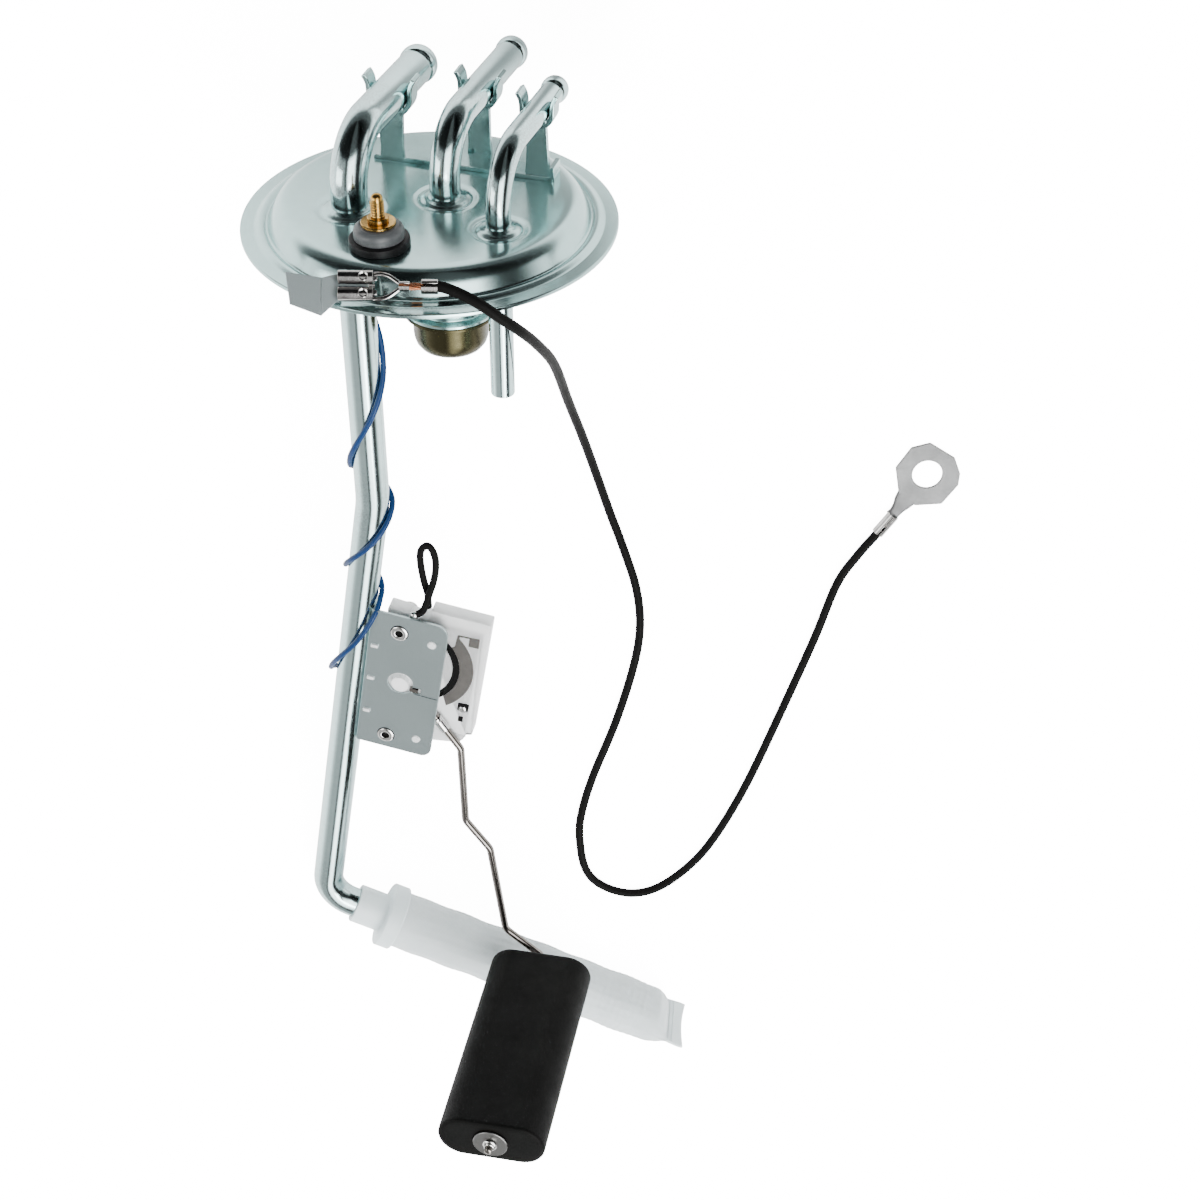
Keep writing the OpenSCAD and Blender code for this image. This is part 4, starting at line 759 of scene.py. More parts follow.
# %% Terminal
at_terminal = flange_space @ shift(terminal_x, terminal_y, 0)
lathe("terminal_seal", [(4.25, 0), (7.5, 0), (7.65, 0.15), (7.65, 1.5), (7.5, 1.95), (7.1, 2.2), (4.25, 2.2)],
      at_terminal @ shift(0, 0, top_h), seal_rubber, cad="stud_seal")
insulator_profile = [
    (1.95, 4.8), (4.2, 4.8), (4.2, 9.4), (6.2, 9.4), (6.32, 9.5), (6.32, 10.9), (6.25, 11.4), (6.0, 11.95),
    (5.6, 12.35), (5.1, 12.65), (4.7, 12.8), (1.95, 12.8),
]
lathe("terminal_insulator", insulator_profile, at_terminal, grey_nylon, cad="stud_insulator")
washer_profile = [(1.95, 12.8), (4.2, 12.8), (4.35, 12.95), (4.35, 13.45), (4.2, 13.6), (1.95, 13.6)]
lathe("terminal_washer", washer_profile, at_terminal, brass, cad="stud_washer", sides=64)
stud_profile = [
    (0.01, -2), (1.4, -2), (1.55, -1.6), (1.55, 13.6), (2.5, 13.6), (2.65, 13.75), (2.65, 14.7), (2.45, 14.9),
    (1.55, 14.9), (1.55, 19.4), (1.5, 19.9), (1.3, 20.4), (0.95, 20.75), (0.5, 20.96), (0.01, 21),
]
lathe("terminal_core", stud_profile, at_terminal, brass, cad="terminal_stud", sides=48)
thread = dict(Pitch=0.0007, Radius=0.00155, Wire=0.00022)
for name, z, turns in (("terminal_thread", 15.3, 6), ("terminal_thread_below", -1.6, 3)):
    grown(name, stud_threads, at_terminal @ shift(0, 0, z), brass, Rings=turns, **thread)
print("terminal done")

# %% [markdown]
# The earth lead plugs on a tab that is folded up from the rim. The connector is stamped: one strip whose
# two sides roll over until they press on the blade, two thin arms, and the crimps for strands and sleeve.

# %% Ground tab
tab_t, blade_w, tab_h = 0.8, 6.3, 9.2

def slab(name, corners, thick, space, material, bevel=0.12, **facts):
    """A flat piece from its four corners in space, thickened evenly to both sides."""
    c = [Vector(p) for p in corners]
    normal = (c[2] - c[0]).cross(c[3] - c[1]).normalized() * thick / 2
    verts = [p - normal for p in c] + [p + normal for p in c]
    faces = [(3, 2, 1, 0), (4, 5, 6, 7)] + [(i, (i + 1) % 4, (i + 1) % 4 + 4, i + 4) for i in range(4)]
    return add_piece(name, verts, faces, space, material, bevel=bevel, **facts)

tab_look = dict(material=flat_grey, cad="ground_tab")
fold_x, fold_z, fold_y = -8.2, 2.0, -2.8
low, high, half_blade = fold_y - tab_h / 2, fold_y + tab_h / 2, blade_w / 2
face = [(-16.0, -4.4, 0), (fold_x, low, fold_z), (fold_x, high, fold_z), (-17.1, 3.4, 0)]
slab("tab_face", face, tab_t, spade_space, bevel=0.16, **tab_look)
root_x, tip_x, overlap = -connector_l / 2 - 0.2, 2.7, 0.1
slope = [
    (fold_x - overlap, low, fold_z), (root_x + overlap, -half_blade, 0), (root_x + overlap, half_blade, 0),
    (fold_x - overlap, high, fold_z),
]
slab("tab_slope", slope, tab_t, spade_space, bevel=0.16, **tab_look)
blade = [(root_x, -half_blade, 0), (tip_x, -half_blade, 0), (tip_x, half_blade, 0), (root_x, half_blade, 0)]
slab("tab_blade", blade, tab_t, spade_space, **tab_look)
to_flange = flange_space.inverted() @ spade_space
foot_a, foot_w = Vector((-22.1, -43.0, sheet_t + tab_t / 2)), Vector((3.6, 0, 0))
top_a = to_flange @ Vector((fold_x - 0.2, -half_blade + 0.2, 0))
slab("tab_leg", [foot_a, foot_a + foot_w, top_a + foot_w, top_a], tab_t, flange_space, **tab_look)
foot_in = Vector((0, 2.2, 0))
foot = [foot_a, foot_a + foot_w, foot_a + foot_w + foot_in, foot_a + foot_in]
slab("tab_foot", foot, tab_t, flange_space, **tab_look)
print("tab done")

# %% [markdown]
# The spade connector's section is one path: a curl, a side, the floor, the other side and its curl. The
# curls meet over the blade and leave a narrow seam, and each carries a small stamped dimple.

# %% Spade connector
def facing(x, z):
    """A frame in the connector, for a section that runs along it."""
    return spade_space @ aimed((x, 0, z), (1, 0, 0), (0, 1, 0))

half, side, wall, barrel_r = connector_l / 2, blade_w / 2 + 0.1, 0.45, 1.7
roll_z = tab_t / 2 + 0.1 + barrel_r
floor_mid = -tab_t / 2 - 0.15 - wall / 2
roll_r = barrel_r - wall / 2
roll_y = side + wall - barrel_r
curl = [polar(roll_r, a, roll_y, roll_z) for a in range(262, -1, -14)]
section = curl + [(side + wall / 2, z) for z in (1.2, 0.2)]
section += [(side + wall / 2 - 0.12, floor_mid + 0.14), (side + wall / 2 - 0.4, floor_mid)]
section += [(-y, z) for y, z in reversed(section)]
connector_look = dict(material=tin, cad="spade_connector", bevel=0.1)
ribbon("connector_barrels", section, wall, connector_l, facing(-half, 0), **connector_look)
dimple = [(0.01, -0.25), (0.5, -0.22), (0.85, -0.05), (1.05, 0.06), (1.2, -0.1), (1.2, -0.4), (0.01, -0.4)]
for label, s in (("near", -1), ("far", 1)):
    lathe(f"connector_dimple_{label}", dimple, spade_space @ shift(half - 2.3, s * roll_y, roll_z + barrel_r), tin,
          sides=28)
    near_y, far_y = s * 1.7 - 0.6, s * 1.7 + 0.6
    hook = [(half - 0.3, near_y), (half + 0.9, near_y), (half + 0.9, far_y), (half - 0.3, far_y)]
    slab(f"connector_hook_{label}", [(x, y, roll_z) for x, y in hook], 0.5, spade_space, tin)
    arm_line = smooth_curve([(half - 0.8, s * 2.9, 0.1), (half + 1.4, s * 3.0, 0.3), (half + 3.4, s * 2.5, 0.6),
                             (half + 5.0, s * 1.5, 0.9), (half + 6.3, s * 0.6, 1.15), (half + 7.4, s * 0.5, 1.2)], 6)
    bar(f"connector_arm_{label}", headed(arm_line), 0.62, spade_space, tin, sides=16)
grip = [polar(wire_r + 0.25, a) for a in range(100, 441, 12)]
ribbon("connector_sleeve_crimp", grip, wall, crimp_l, facing(crimp_x, crimp_z), **connector_look)
strands_at, lay = half + 6, 0.35
strand_crimp = [(1.05 * math.cos(math.radians(a)), 0.95 * math.sin(math.radians(a))) for a in range(95, 440, 15)]
ribbon("connector_strand_crimp", strand_crimp, wall, 2.6, facing(strands_at, crimp_z), **connector_look)
for i in range(7):
    a = 2 * math.pi * i / 6
    r = 0.62 if i < 6 else 0.0
    strand = [(strands_at + d, r * math.cos(a + d * lay), crimp_z + r * math.sin(a + d * lay)) for d in range(7)]
    bar(f"copper_strand_{i + 1}", headed(strand), 0.3, spade_space, copper, sides=10)
print("connector done")

# %% [markdown]
# Under the return line hangs the rollover valve: a grey drawn can crimped to a yellow passivated cup. Both
# are turned profiles, with the crimped flange where they meet.

# %% Rollover valve
at_valve = flange_space @ shift(return_x, return_y, -24.5)
can_profile = [
    (9.1, 0), (12.3, 0), (12.5, 0.2), (12.5, 0.8), (12.3, 1.0), (10.5, 1.0), (10.2, 1.2), (10.1, 1.6), (10.1, 9.3),
    (9.9, 10.1), (9.3, 10.7), (8.5, 11), (5.6, 11.9), (5.25, 12.3), (5.12, 13), (5.12, 30.5), (4.12, 30.5),
    (4.12, 10.2), (8.0, 9.6), (9.1, 9.0),
]
lathe("valve_shell", can_profile, at_valve, zinc, cad="valve_can")
cup_profile = [
    (0.01, -11.5), (6.2, -11.5), (7.6, -11.3), (8.7, -10.7), (9.5, -9.6), (9.9, -8.3), (10.05, -7), (10.1, -1.6),
    (10.25, -1.25), (10.6, -1.05), (12.3, -1.0), (12.5, -0.85), (12.5, -0.2), (12.35, 0), (9.1, 0), (8.95, -7.6),
    (8.1, -9.6), (6.3, -10.5), (0.01, -10.5),
]
lathe("valve_cup", cup_profile, at_valve, yellow_zinc, cad="valve_cap")
print("valve done")

# %% [markdown]
# The sender's plate is blanked steel with a rounded outline. Its left side is rolled round the supply line
# and spot-welded there, and three small gussets stiffen the bend. The slit lets a contact spring through.

# %% Sender plate
plate_face, plate_back, card_face = -3.6, -2.7, 0.9
pivot_x = 15.5
rivets = [(13.2, 18.9), (13.2, -21.6)]
stakes = [(23.2, 17.4), (22.6, -20.4)]

def in_depth(y, x=0, z=0):
    """A point of the sender's upright plane at one depth: X stays, Y becomes up, Z faces the viewer."""
    return sender_space @ shift(0, y, 0) @ Matrix.Rotation(math.pi / 2, 4, "X") @ shift(x, z, 0)

plate_outline = round_corners(rectangle(4.6, -26.5, 27.5, 25), [0.3, 3.2, 3.6, 0.3], parts=9)
slot_hole = round_corners(rectangle(19.3, -2.6, 22.0, -0.4), 0.3)
slit = rectangle(19.9, -3.05, 27.2, -2.75)
holes = [circle(pivot_x, 0, 3.9)] + [circle(x, z, 1.65) for x, z in rivets] + [circle(x, z, 1.35) for x, z in stakes]
plate("sender_sheet", [plate_outline, *holes, slot_hole, slit], 0.9, in_depth((plate_face + plate_back) / 2),
      sheet_steel, bevel=0.1, cad="sender_plate")
saddle_path = [polar(5.26, a) for a in range(52, -33, -6)]
ribbon("sender_saddle", saddle_path + [(4.75, -3.15)], 0.9, 51.5, sender_space @ shift(0, 0, -26.5), sheet_steel,
       bevel=0.1, cad="sender_plate")
# The gussets' near-white finish is a painted glint on the bend.
for i, z in enumerate((11.9, -0.6, -13.6)):
    gusset = [(x, plate_face + 0.12, z) for x in (5.2, 5.8, 6.4, 7.0, 7.6)]
    bar(f"sender_gusset_{i + 1}", headed(gusset), 0.8, sender_space, painted_glint_steel, sides=20)
print("plate done")

# %% [markdown]
# Behind the plate sits the moulded housing with its resistor card. The card is fired ceramic with two
# printed tracks, and the wiper presses on both. The pads and the solder are where the maker trims it.

# %% Sender housing and card
housing_outline = [
    (8, -25), (25.4, -25), (26.4, -23.4), (31.6, -22.3), (35.0, -21.4), (36.2, -19.8), (36.5, -17.9), (38.6, -17.2),
    (38.8, 26.2), (20.7, 26.2), (20.6, 23.2), (17.9, 23.2), (17.7, 22.4), (14.9, 22.4), (14.7, 23.2), (8, 23.6),
]
housing_depth = 6.2
card_hole = rectangle(11.9, -18.1, 36.6, 22.1)
moulding = round_corners(housing_outline, 0.5, parts=4)
housing_look = dict(material=white_plastic, cad="sender_housing")
plate("housing_rim", [moulding, card_hole], 1.2, in_depth(card_face + 0.6), bevel=0.2, **housing_look)
plate("housing_block", [moulding], housing_depth - card_face - 0.8, in_depth((housing_depth + card_face + 0.8) / 2),
      bevel=0.3, **housing_look)
for i, (x, z) in enumerate(rivets + stakes):
    r = 3.2 if i < 2 else 1.9
    lathe(f"housing_post_{i + 1}", [(0.01, -1.2), (r, -1.2), (r, 3.4), (r - 0.2, 3.6), (0.01, 3.6)],
          in_depth(card_face, x, z), sides=40, **housing_look)
for i, (x, z) in enumerate(stakes):
    lathe(f"housing_stake_{i + 1}", [(0.01, 3), (1.3, 3), (1.3, 4.45), (1.2, 4.68), (0.9, 4.8), (0.01, 4.8)],
          in_depth(card_face, x, z), sides=32, **housing_look)

card_outline = round_corners(rectangle(12, -18, 36.5, 22), 0.4)
plate("ceramic_card", [card_outline], 0.8, in_depth(card_face + 0.4), card_ceramic, bevel=0.08, cad="resistor_card")

crescent = arc(18.6, 5.7, 17.4, -52, 48) + [(30.2, 19.5), (33.2, 19.7), (33.2, 20.2), (29.6, 20.0), (29.2, 15.4)]
tracks = {
    "track_contact": (black_ink, arc(17.1, 5.3, 14.7, -58, 52) + arc(17.1, 5.3, 12.6, 52, -58)),
    "track_resistor": (grey_ink, crescent + arc(17.1, 5.3, 14.75, 40, -42)),
    "track_pad": (grey_ink, round_corners([(33.2, 16.7), (36.3, 16.8), (36.2, 20.4), (33.2, 20.2)], 0.25)),
    "track_pad_solder": (black_ink, round_corners([(32.9, -8.8), (36.2, -8.6), (36.3, -5.4), (32.9, -5.6)], 0.5)),
    "track_pad_small": (black_ink, round_corners(rectangle(33.6, -12.9, 35.1, -10.8), 0.2)),
}
for name, (ink, outline) in tracks.items():
    plate(name, [outline], 0.12, in_depth(card_face - 0.06), ink, cad="card_tracks", bevel=0.03, resolution=1)
solder_profile = [(0.01, -0.1), (1.2, -0.1), (1.25, 0.08), (1.05, 0.3), (0.75, 0.42), (0.5, 0.46), (0.01, 0.48)]
lathe("card_joint", solder_profile, in_depth(card_face, 34.5, -8), bright_plate, sides=32, slot="tinned",
      cad="card_solder")
print("housing and card done")

# %% [markdown]
# Two eyelet rivets clamp housing and plate. An eyelet is a tube whose end is rolled over, so its profile is
# drawn as a wall that turns outwards at both ends.

# %% Rivets
eyelet = [
    (1.0, -8.6), (1.25, -8.95), (2.2, -9.0), (2.5, -8.8), (2.5, -8.5), (2.3, -8.4), (1.6, -8.4), (1.6, 3.6),
    (2.3, 3.6), (2.5, 3.72), (2.48, 3.95), (2.1, 4.17), (1.6, 4.2), (1.25, 4.05), (1.1, 3.7), (1.1, 0.6), (0.01, 0.5),
    (0.01, -7.5), (0.9, -7.6),
]
for i, (x, z) in enumerate(rivets):
    lathe(f"sender_eyelet_{i + 1}", eyelet, in_depth(0, x, z), bright_plate, sides=40, slot="sender_steel",
          cad="sender_rivets")
    # Each rivet gets a black disc in its bore, which is painted shade, and a thin black ring on the plate round the
    # rolled edge, which is a painted shadow.
    lathe(f"sender_eyelet_painted_shade_{i + 1}", [(0.01, 3.55), (1.0, 3.55), (1.08, 3.45), (1.08, 2.6), (0.01, 2.6)],
          in_depth(0, x, z), painted_shade_black, sides=24)
    lathe(f"sender_eyelet_painted_shadow_ring_{i + 1}", [(2.2, 3.58), (2.74, 3.58), (2.74, 3.63), (2.6, 3.68), (2.2, 3.68)],
          in_depth(0, x, z), painted_shade_black, sides=40)
print("rivets done")

# %% [markdown]
# The float arm is one hard-drawn wire. It leaves the rotor through a bright crimped sleeve, runs down in
# four bends, and turns square to the sender's plane to become the float's axle.

# %% Float arm
arm_y, arm_r = -0.9, 1.15
rod_x, rod_z = 75, -103.6
float_far, float_near, rod_end = -5.65, -76.65, -80.55
arm_bends = [(20, -4), (36.2, -22), (41.4, -51.2), (50.6, -60.6), (60.4, -94.6), (rod_x, rod_z)]
arm_corners = [(x, arm_y, z) for x, z in arm_bends]
arm_path = bent_path(arm_corners + [(rod_x, rod_end, rod_z)], [3, 4, 4, 4, 2.6], step=6, arc_step=9)
bar("arm_wire", arm_path, arm_r, sender_space, arm_steel, sides=28, body="swing_arm", cad="float_arm")
first_run = (Vector(arm_corners[1]) - Vector(arm_corners[0])).normalized()
sleeve_space = sender_space @ aimed(Vector(arm_corners[0]) + first_run * 11, first_run, (0, 1, 0))
sleeve = [(1.17, 0), (1.5, 0), (1.62, 0.12), (1.62, 0.9), (1.52, 1.05), (1.52, 1.35), (1.62, 1.5), (1.62, 4.88),
          (1.5, 5), (1.17, 5)]
lathe("arm_crimp", sleeve, sleeve_space, bright_plate, sides=36, body="swing_arm", cad="arm_sleeve")
for label, y in (("far", float_far + 0.1), ("near", float_near - 0.8)):
    lathe(f"float_washer_{label}", [(1.2, 0), (5.15, 0), (5.3, 0.12), (5.3, 0.58), (5.15, 0.7), (1.2, 0.7)],
          in_depth(y + 0.7, rod_x, rod_z), dull_plate, sides=64, body="swing_arm", cad="float_washers")
clip = [(1.22, 0), (1.5, 0), (2.1, 0.15), (2.2, 0.35), (2.1, 0.55), (1.75, 0.75), (1.6, 1.25), (1.4, 1.4),
        (1.22, 1.4)]
lathe("rod_clip", clip, in_depth(float_near - 0.8, rod_x, rod_z), bright_plate, sides=40, body="swing_arm",
      cad="arm_clip")
print("arm done")

# %% [markdown]
# The float is closed-cell rubber, moulded as a flat block with half-round sides and a small radius round
# both ends. Its rings follow that outline, drawn in at the ends, and closed on themselves round the bore.

# %% Float
float_r, float_half, float_len = 7.9, 8.6, 71.0
ends = [(0, 2.6), (0.02, 1.3), (0.12, 0.72), (0.4, 0.28), (0.8, 0.06), (1.3, 0.0)]
middle_levels = [(float_len * k / 24, 0.0) for k in range(1, 24)]
levels = ends + middle_levels + [(float_len - d, inset) for d, inset in reversed(ends)]
verts = []
for z, inset in levels:
    r = float_r - inset
    outline = [polar(r, a, float_half) for a in range(-90, 91, 6)]
    outline += [(float_half - 2 * float_half * k / 8, r) for k in range(1, 8)]
    outline += [(-x, -y) for x, y in outline]
    count = len(outline)
    verts += [(x, y, z) for x, y in outline]
bore_turns = [2 * math.pi * k / count - math.pi / 2 for k in range(count)]
bore = [(1.45 * math.cos(a), 1.45 * math.sin(a)) for a in bore_turns]
verts += [(x, y, z) for z in (float_len - 0.02, 0.02) for x, y in bore]
float_space = (sender_space @ shift(rod_x, float_far, rod_z)
               @ Matrix.Rotation(math.pi / 2, 4, "X") @ Matrix.Rotation(math.radians(10), 4, "Z"))
add_piece("float_block_foam", verts, ring_faces(len(levels) + 2, count, True), float_space, float_foam,
          body="float_block", cad="float", sharp=50)
print("float done")

# %% [markdown]
# The signal wire is wound round the supply line so that it can't rattle, and the jumper makes the loop
# that crosses itself above the housing. A blob of solder holds the jumper in the housing's notch.

# %% Held wires
signal_r, jumper_r = 0.8, 1.05
stations = [
    (-27, -55, 5.6), (-34, -22, 5.6), (-41, 4, 5.6), (-57, 90, 5.6), (-72, 180, 5.6), (-79, 270, 5.6),
    (-86, 360, 5.6), (-97, 450, 5.6), (-107, 540, 5.6), (-111.5, 630, 5.6), (-114.5, 690, 5.6), (-118, 735, 5.7),
    (-121.5, 765, 6.5), (-131, 810, 6.55), (-146, 900, 6.55), (-151, 970, 6.6),
]
wrapped = []
for (z0, a0, r0), (z1, a1, r1) in zip(stations, stations[1:]):
    for k in range(10):
        z, a, r = z0 + (z1 - z0) * k / 10, math.radians(a0 + (a1 - a0) * k / 10), r0 + (r1 - r0) * k / 10
        bent = z < kink.z
        axis_x = supply_x + (z - kink.z) * math.tan(tube_lean) * bent
        x = axis_x + r * math.cos(a) / (math.cos(tube_lean) if bent else 1)
        wrapped.append((x, supply_y - r * math.sin(a), z))
signal_start = [
    (terminal_x, terminal_y + 7.6, 3), (terminal_x - 0.4, terminal_y + 10, -1), (-11.6, -9.4, -10),
    (-13.6, -4.4, -19),
]
signal_end = [(-30.6, -0.6, -152.6), (-27.8, -0.2, -153.4), (-24.2, -1.2, -153.8)]
line = smooth_curve(signal_start + wrapped[:1], 8)[:-1] + [Vector(p) for p in wrapped + signal_end]
eased = [(a + b * 2 + c) / 4 for a, b, c in zip(line, line[1:], line[2:])]
signal_line = [line[0], *eased, line[-1]]
bar("signal_lead", headed(signal_line), signal_r, flange_space, blue_pvc, sides=18, cad="signal_wire")
jumper_points = [
    (16.3, -1.6, 25.2), (17.5, -1.2, 25.8), (18.6, -0.4, 26.8), (19.2, 0.6, 29.6), (19.5, 1.2, 32.4), (20.0, 1.8, 36),
    (20.1, 2.2, 40.4), (19.5, 2.4, 44.2), (18.2, 2.5, 47), (16.6, 2.6, 48), (15.2, 2.7, 46.3), (14.9, 2.9, 43.8),
    (15.6, 3.1, 39.6), (17, 3.4, 34.4), (18.4, 3.7, 30.4), (18.9, 3.9, 27.5), (19.4, 4, 24.8),
]
bar("jumper_lead", headed(smooth_curve(jumper_points, 8)), jumper_r, sender_space, black_pvc, sides=18,
    cad="jumper_wire")
blob = [(0.01, -0.9), (0.9, -0.85), (1.35, -0.3), (1.4, 0.3), (1.15, 0.85), (0.7, 1.15), (0.01, 1.25)]
lathe("jumper_solder", blob, in_depth(-1.4, 16.4, 25.2), bright_plate, sides=32, slot="tinned")
print("wires done")

# %% [markdown]
# The strainer is a nylon mesh bag on a ribbed core. Its neck slips over the supply line. The bag is sewn
# flat at the far end by a weld, and between the core's rings the mesh sinks a little, which gives it its
# wavy outline. The weave is too fine to model thread by thread, so the material draws it.

# %% Strainer
neck_profile = [
    (4.86, 10.4), (6.1, 10.4), (6.3, 10.65), (6.3, 19.6), (6.6, 20.2), (7.4, 20.6), (10.3, 20.6), (10.6, 20.9),
    (10.6, 25.5), (10.3, 25.8), (6.0, 25.8), (6.0, 29.8), (3.8, 29.8), (3.8, 23.6), (4.86, 23.6),
]
lathe("strainer_collar", neck_profile, strainer_space, clear_nylon, cad="strainer_neck")

mesh_cloth = finish("strainer mesh", "mesh_nylon", (0.76, 0.83, 0.84), (0.66, 0.735, 0.75), (0.46, 0.62),
                    cloud=(90, 2.4), grain=(2600, 10), Subsurface_Weight=0.25,
                    Subsurface_Radius=(0.003, 0.003, 0.003), Subsurface_Scale=1, Sheen_Weight=0.25,
                    Sheen_Roughness=0.4)
tree = mesh_cloth.node_tree
laid = add_node(tree, "ShaderNodeUVMap", {"uv_map": "along"}).outputs["UV"]
split = add_node(tree, "ShaderNodeSeparateXYZ", Vector=laid).outputs
thread_pitch = 0.42

def threads(axis):
    """A mask that rises and falls once for every thread across one way of the cloth."""
    turn = times(tree, split[axis], math.pi / thread_pitch)
    return math_node(tree, "ABSOLUTE", math_node(tree, "SINE", turn))

hole = math_node(tree, "POWER", math_node(tree, "MINIMUM", threads("X"), threads("Y")), 2.2)
stain(tree, times(tree, hole, 0.5), (0.36, 0.40, 0.42))
thread_height = math_node(tree, "SUBTRACT", 1.0, hole)
weave = add_node(tree, "ShaderNodeBump", Strength=0.8, Distance=0.00006, Height=thread_height)
feed(tree, tree.nodes["Principled BSDF"].inputs["Normal"], weave.outputs["Normal"])

sock_rows = [
    (25.8, 9.2, 9.2), (37.8, 9.4, 9.4), (85.5, 9.4, 9.4), (113.5, 9.8, 9.0), (119.5, 10.0, 8.0), (122.5, 9.8, 5.6),
    (124.4, 9.5, 2.6), (125.5, 9.2, 0.9),
]
sock_sides, sock_steps = 128, 220
places, widths, depths = zip(*sock_rows)
zs = [places[0] + (places[-1] - places[0]) * k / sock_steps for k in range(sock_steps + 1)]
verts, uvs = [], []
for z, w, t in zip(zs, np.interp(zs, places, widths), np.interp(zs, places, depths)):
    free = min(1.0, max(0.0, (z - 26.5) / 8)) * min(1.0, max(0.0, (124 - z) / 10))
    for k in range(sock_sides):
        a = 2 * math.pi * k / sock_sides
        sag = 0.16 * (1 - math.cos(2 * math.pi * (z - 31.8) / 15)) * free
        fold = 0.10 * math.sin(9 * a + z * 0.05) * free + 0.05 * math.sin(23 * a - z * 0.11) * free
        rib = 0.05 * math.sin(2 * math.pi * z / 2.4) * free * (0.4 + 0.6 * (z > 95))
        pinch = 0.35 * max(0.0, math.cos(14 * a)) * max(0.0, (z - 116) / 9.5) * (1 if t > 1.5 else 0)
        lift = -sag + fold + rib - pinch
        verts.append((-(t + lift) * math.cos(a), (w + lift) * math.sin(a), z))
        uvs.append((a * 9.4, z))
add_piece("strainer_bag", verts, ring_faces(len(zs), sock_sides), strainer_space, mesh_cloth, cad="strainer_sock",
          sharp=60, uvs=uvs)
weld_outline = [(-8.9, 124.6), (8.9, 124.6), (9.15, 127.2), (9.35, 130), (9.2, 131.75)]
weld_outline += [(9.2 - 18.4 * k / 20, 131.75 - 0.9 * math.sin(math.pi * k / 20)) for k in range(1, 20)]
weld_outline += [(-9.2, 131.75), (-9.35, 130), (-9.15, 127.2)]
weld_space = strainer_space @ Matrix(((0, 0, 1, 0), (1, 0, 0, 0), (0, 1, 0, 0), (0, 0, 0, 1)))
plate("strainer_weld", [weld_outline], 1.1, weld_space, clear_nylon, bevel=0.2, slot="mesh_nylon",
      cad="strainer_seal")
for i, z in enumerate((126.1, 127.4)):
    line = [(0.62, y, z) for y in np.linspace(-8.6, 8.6, 9)]
    bar(f"strainer_weld_bead_{i + 1}", headed(line), 0.22, strainer_space, clear_nylon, sides=10, slot="mesh_nylon")
print("strainer done")

# %% [markdown]
# The CAD solids that nothing replaces keep their shape and get a finish too, hidden ones included: the
# valve's ball, the parts under the terminal, the core, the rotor with its wiper and the contact spring.

# %% Carried-over nodes
kept_looks = {
    "valve_ball": bright_plate, "stud_nut": brass, "stud_bush": grey_nylon, "signal_tag": brass,
    "strainer_core": clear_nylon, "sender_rotor": white_plastic, "wiper": arm_steel, "ground_spring": arm_steel,
}
for node, look in kept_looks.items():
    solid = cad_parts[node]
    if not solid.data.materials:
        solid.data.materials.append(look)
    for i in range(len(solid.data.materials)):
        solid.data.materials[i] = look
print("kept:", ", ".join(kept_looks))

# %% [markdown]
# A product photograph on white: the camera sees a glowing white table. Everything else gets less light
# from it. A grey card lies behind the part, where the cover mirrors it, and the table ends in the dark
# farther on, which draws the dark band on the cover's shoulder.

# %% Stage
floor_mesh = bpy.data.meshes.new("floor")
floor_mesh.from_pydata([(-4, -4, 0), (4, -4, 0), (4, 4, 0), (-4, 4, 0)], [], [(0, 1, 2, 3)])
floor = bpy.data.objects.new("floor", floor_mesh)
bpy.context.scene.collection.objects.link(floor)
paper = bpy.data.materials.new("white table")
paper.use_nodes = True
floor_mesh.materials.append(paper)
table = paper.node_tree
on_table = add_node(table, "ShaderNodeTexCoord").outputs["Object"]
spot = add_node(table, "ShaderNodeSeparateXYZ", Vector=on_table).outputs

def shade_along(axis, start, end):
    """A soft step over the table, from 0 to 1, between two places along X or Y."""
    step = add_node(table, "ShaderNodeMapRange", {"interpolation_type": "SMOOTHSTEP"}, From_Min=start, From_Max=end,
                    Value=spot[axis])
    return step.outputs["Result"]

card_width = math_node(table, "SUBTRACT", shade_along("X", -0.006, 0.018), shade_along("X", 0.025, 0.05))
grey_card = times(table, card_width, shade_along("Y", 0.14, 0.18))
past_table = times(table, shade_along("Y", 0.22, 0.34), 0.94)
covered = math_node(table, "MAXIMUM", times(table, grey_card, 0.78), past_table)
lit = math_node(table, "SUBTRACT", 1, covered)
seen = add_node(table, "ShaderNodeLightPath").outputs["Is Camera Ray"]
glow = add_node(table, "ShaderNodeMapRange", Value=seen, To_Min=times(table, lit, 0.6), To_Max=14)
table_look = {
    "Base Color": blend_colour(table, lit, (0.0, 0.0, 0.0), (0.9, 0.9, 0.9)), "Roughness": 0.9,
    "Specular IOR Level": 0.1, "Emission Color": (1, 1, 1), "Emission Strength": glow.outputs["Result"],
}
for label, value in table_look.items():
    feed(table, table.nodes["Principled BSDF"].inputs[label], value)
print("table laid")

# %% [markdown]
# The walls of the studio are told apart by how far they lean from straight up to the left or right. The
# left wall is grey, a tall white screen stands just right of the middle, and black cloth hangs on both
# sides of it and far ahead. A polished tube that lies on the table shows these as a grey side, a white
# line and a black line, all along it. The camera itself sees a plain grey wall.

# %% Studio light
world = bpy.data.worlds.new("studio")
bpy.context.scene.world = world
world.use_nodes = True
tree = world.node_tree
sky_place = add_node(tree, "ShaderNodeTexCoord").outputs["Generated"]
parts = add_node(tree, "ShaderNodeSeparateXYZ", Vector=sky_place).outputs

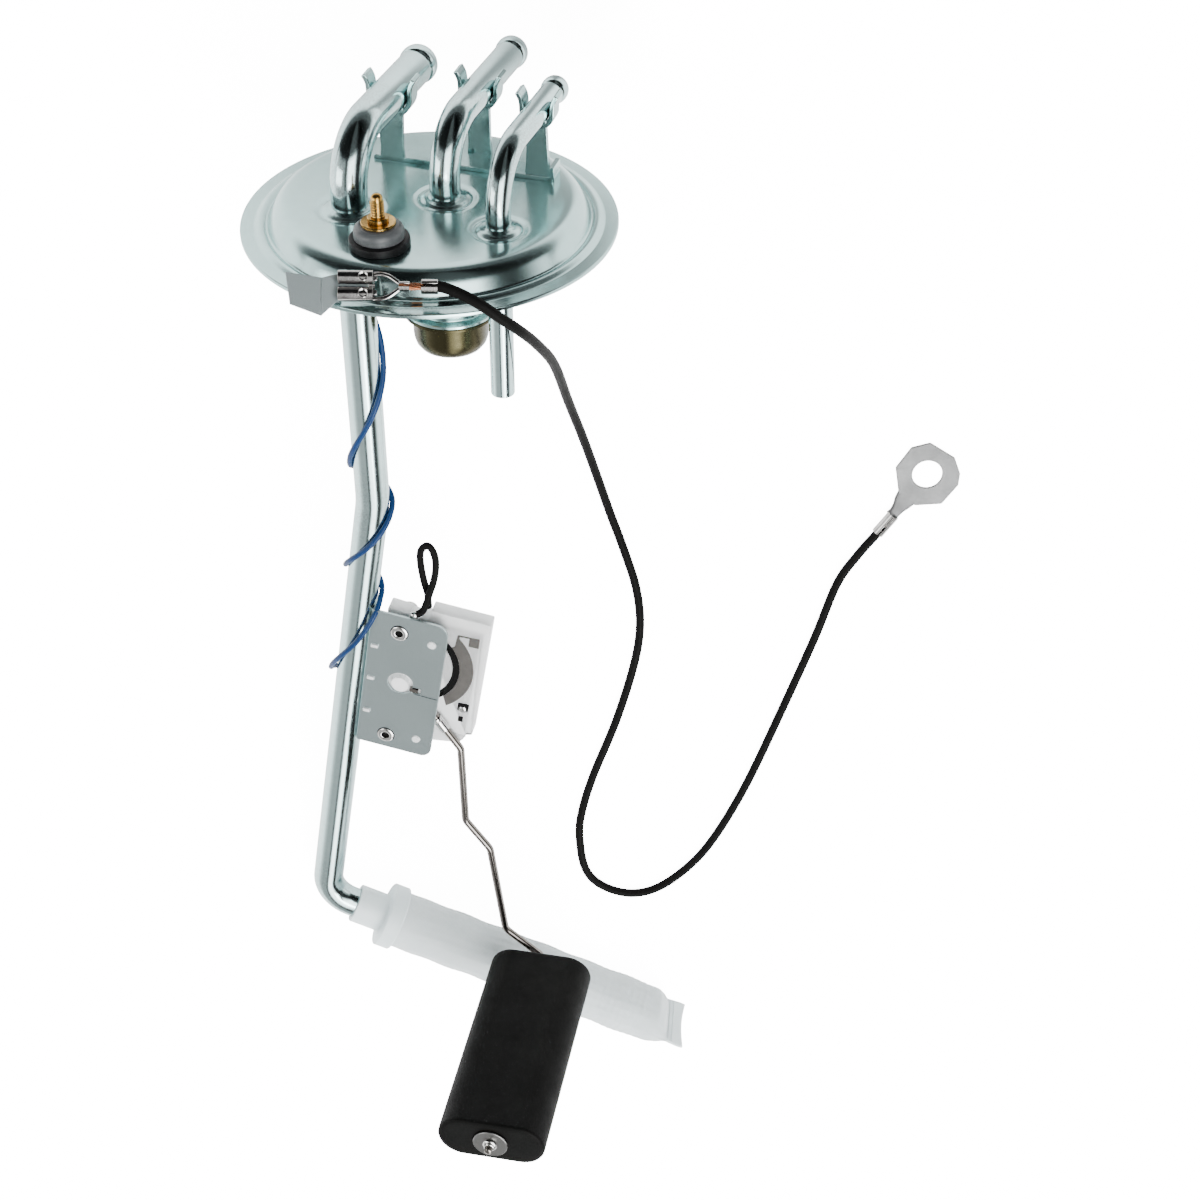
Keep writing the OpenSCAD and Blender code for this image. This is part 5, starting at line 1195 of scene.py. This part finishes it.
def studio_ramp(place, stops):
    """Greys along a line from 0 to 1; a new ramp has its two end stops already."""
    ramp = add_node(tree, "ShaderNodeValToRGB", Fac=place)
    ends = ramp.color_ramp.elements
    ends[0].position, ends[1].position = stops[0][0], stops[-1][0]
    for element, grey in ((ends[0], stops[0][1]), (ends[1], stops[-1][1])):
        element.color = (grey, grey, grey, 1)
    for position, grey in stops[1:-1]:
        ends.new(position).color = (grey, grey, grey, 1)
    return ramp.outputs["Color"]

lean = math_node(tree, "ARCTAN2", parts["X"], parts["Z"])
share = math_node(tree, "ADD", math_node(tree, "DIVIDE", lean, math.pi), 0.5, clamp=True)
brightest = 7.0
studio_walls = [
    (-90, 3.0), (-74, 1.3), (-58, 0.75), (-24, 0.75), (-17, 0.12), (-6, 0.10), (0, 5.5), (8, 7.0), (33, 7.0),
    (41, 1.0), (46, 0.03), (64, 0.02), (72, 0.5), (83, 2.4), (90, 3.0),
]
walls = studio_ramp(share, [(degrees / 180 + 0.5, grey / brightest) for degrees, grey in studio_walls])
ahead_share = math_node(tree, "ADD", times(tree, parts["Y"], 0.5), 0.5)
cloth = studio_ramp(ahead_share, [(0.0, 1), (0.67, 1), (0.73, 0.02), (1.0, 0.02)])
seen = add_node(tree, "ShaderNodeLightPath").outputs["Is Camera Ray"]
sky = blend_colour(tree, seen, times(tree, walls, cloth), (0.3, 0.3, 0.3))
feed(tree, tree.nodes["Background"].inputs["Color"], sky)
feed(tree, tree.nodes["Background"].inputs["Strength"], brightest)

def soft_light(name, at, aim, size, power):
    data = bpy.data.lights.new(name, "AREA")
    data.shape = "RECTANGLE"
    data.size, data.size_y = size
    data.energy = power
    lamp = bpy.data.objects.new(name, data)
    lamp.location = at
    lamp.rotation_euler = (Vector(aim) - Vector(at)).to_track_quat("-Z", "Y").to_euler()
    bpy.context.scene.collection.objects.link(lamp)

middle = (0.0, 0.0, 0.03)
soft_light("key", (0.35, -0.5, 1.1), middle, (0.35, 0.9), 12)
soft_light("fill", (-1.1, 0.1, 0.8), middle, (0.5, 0.9), 8)
print("lights placed")
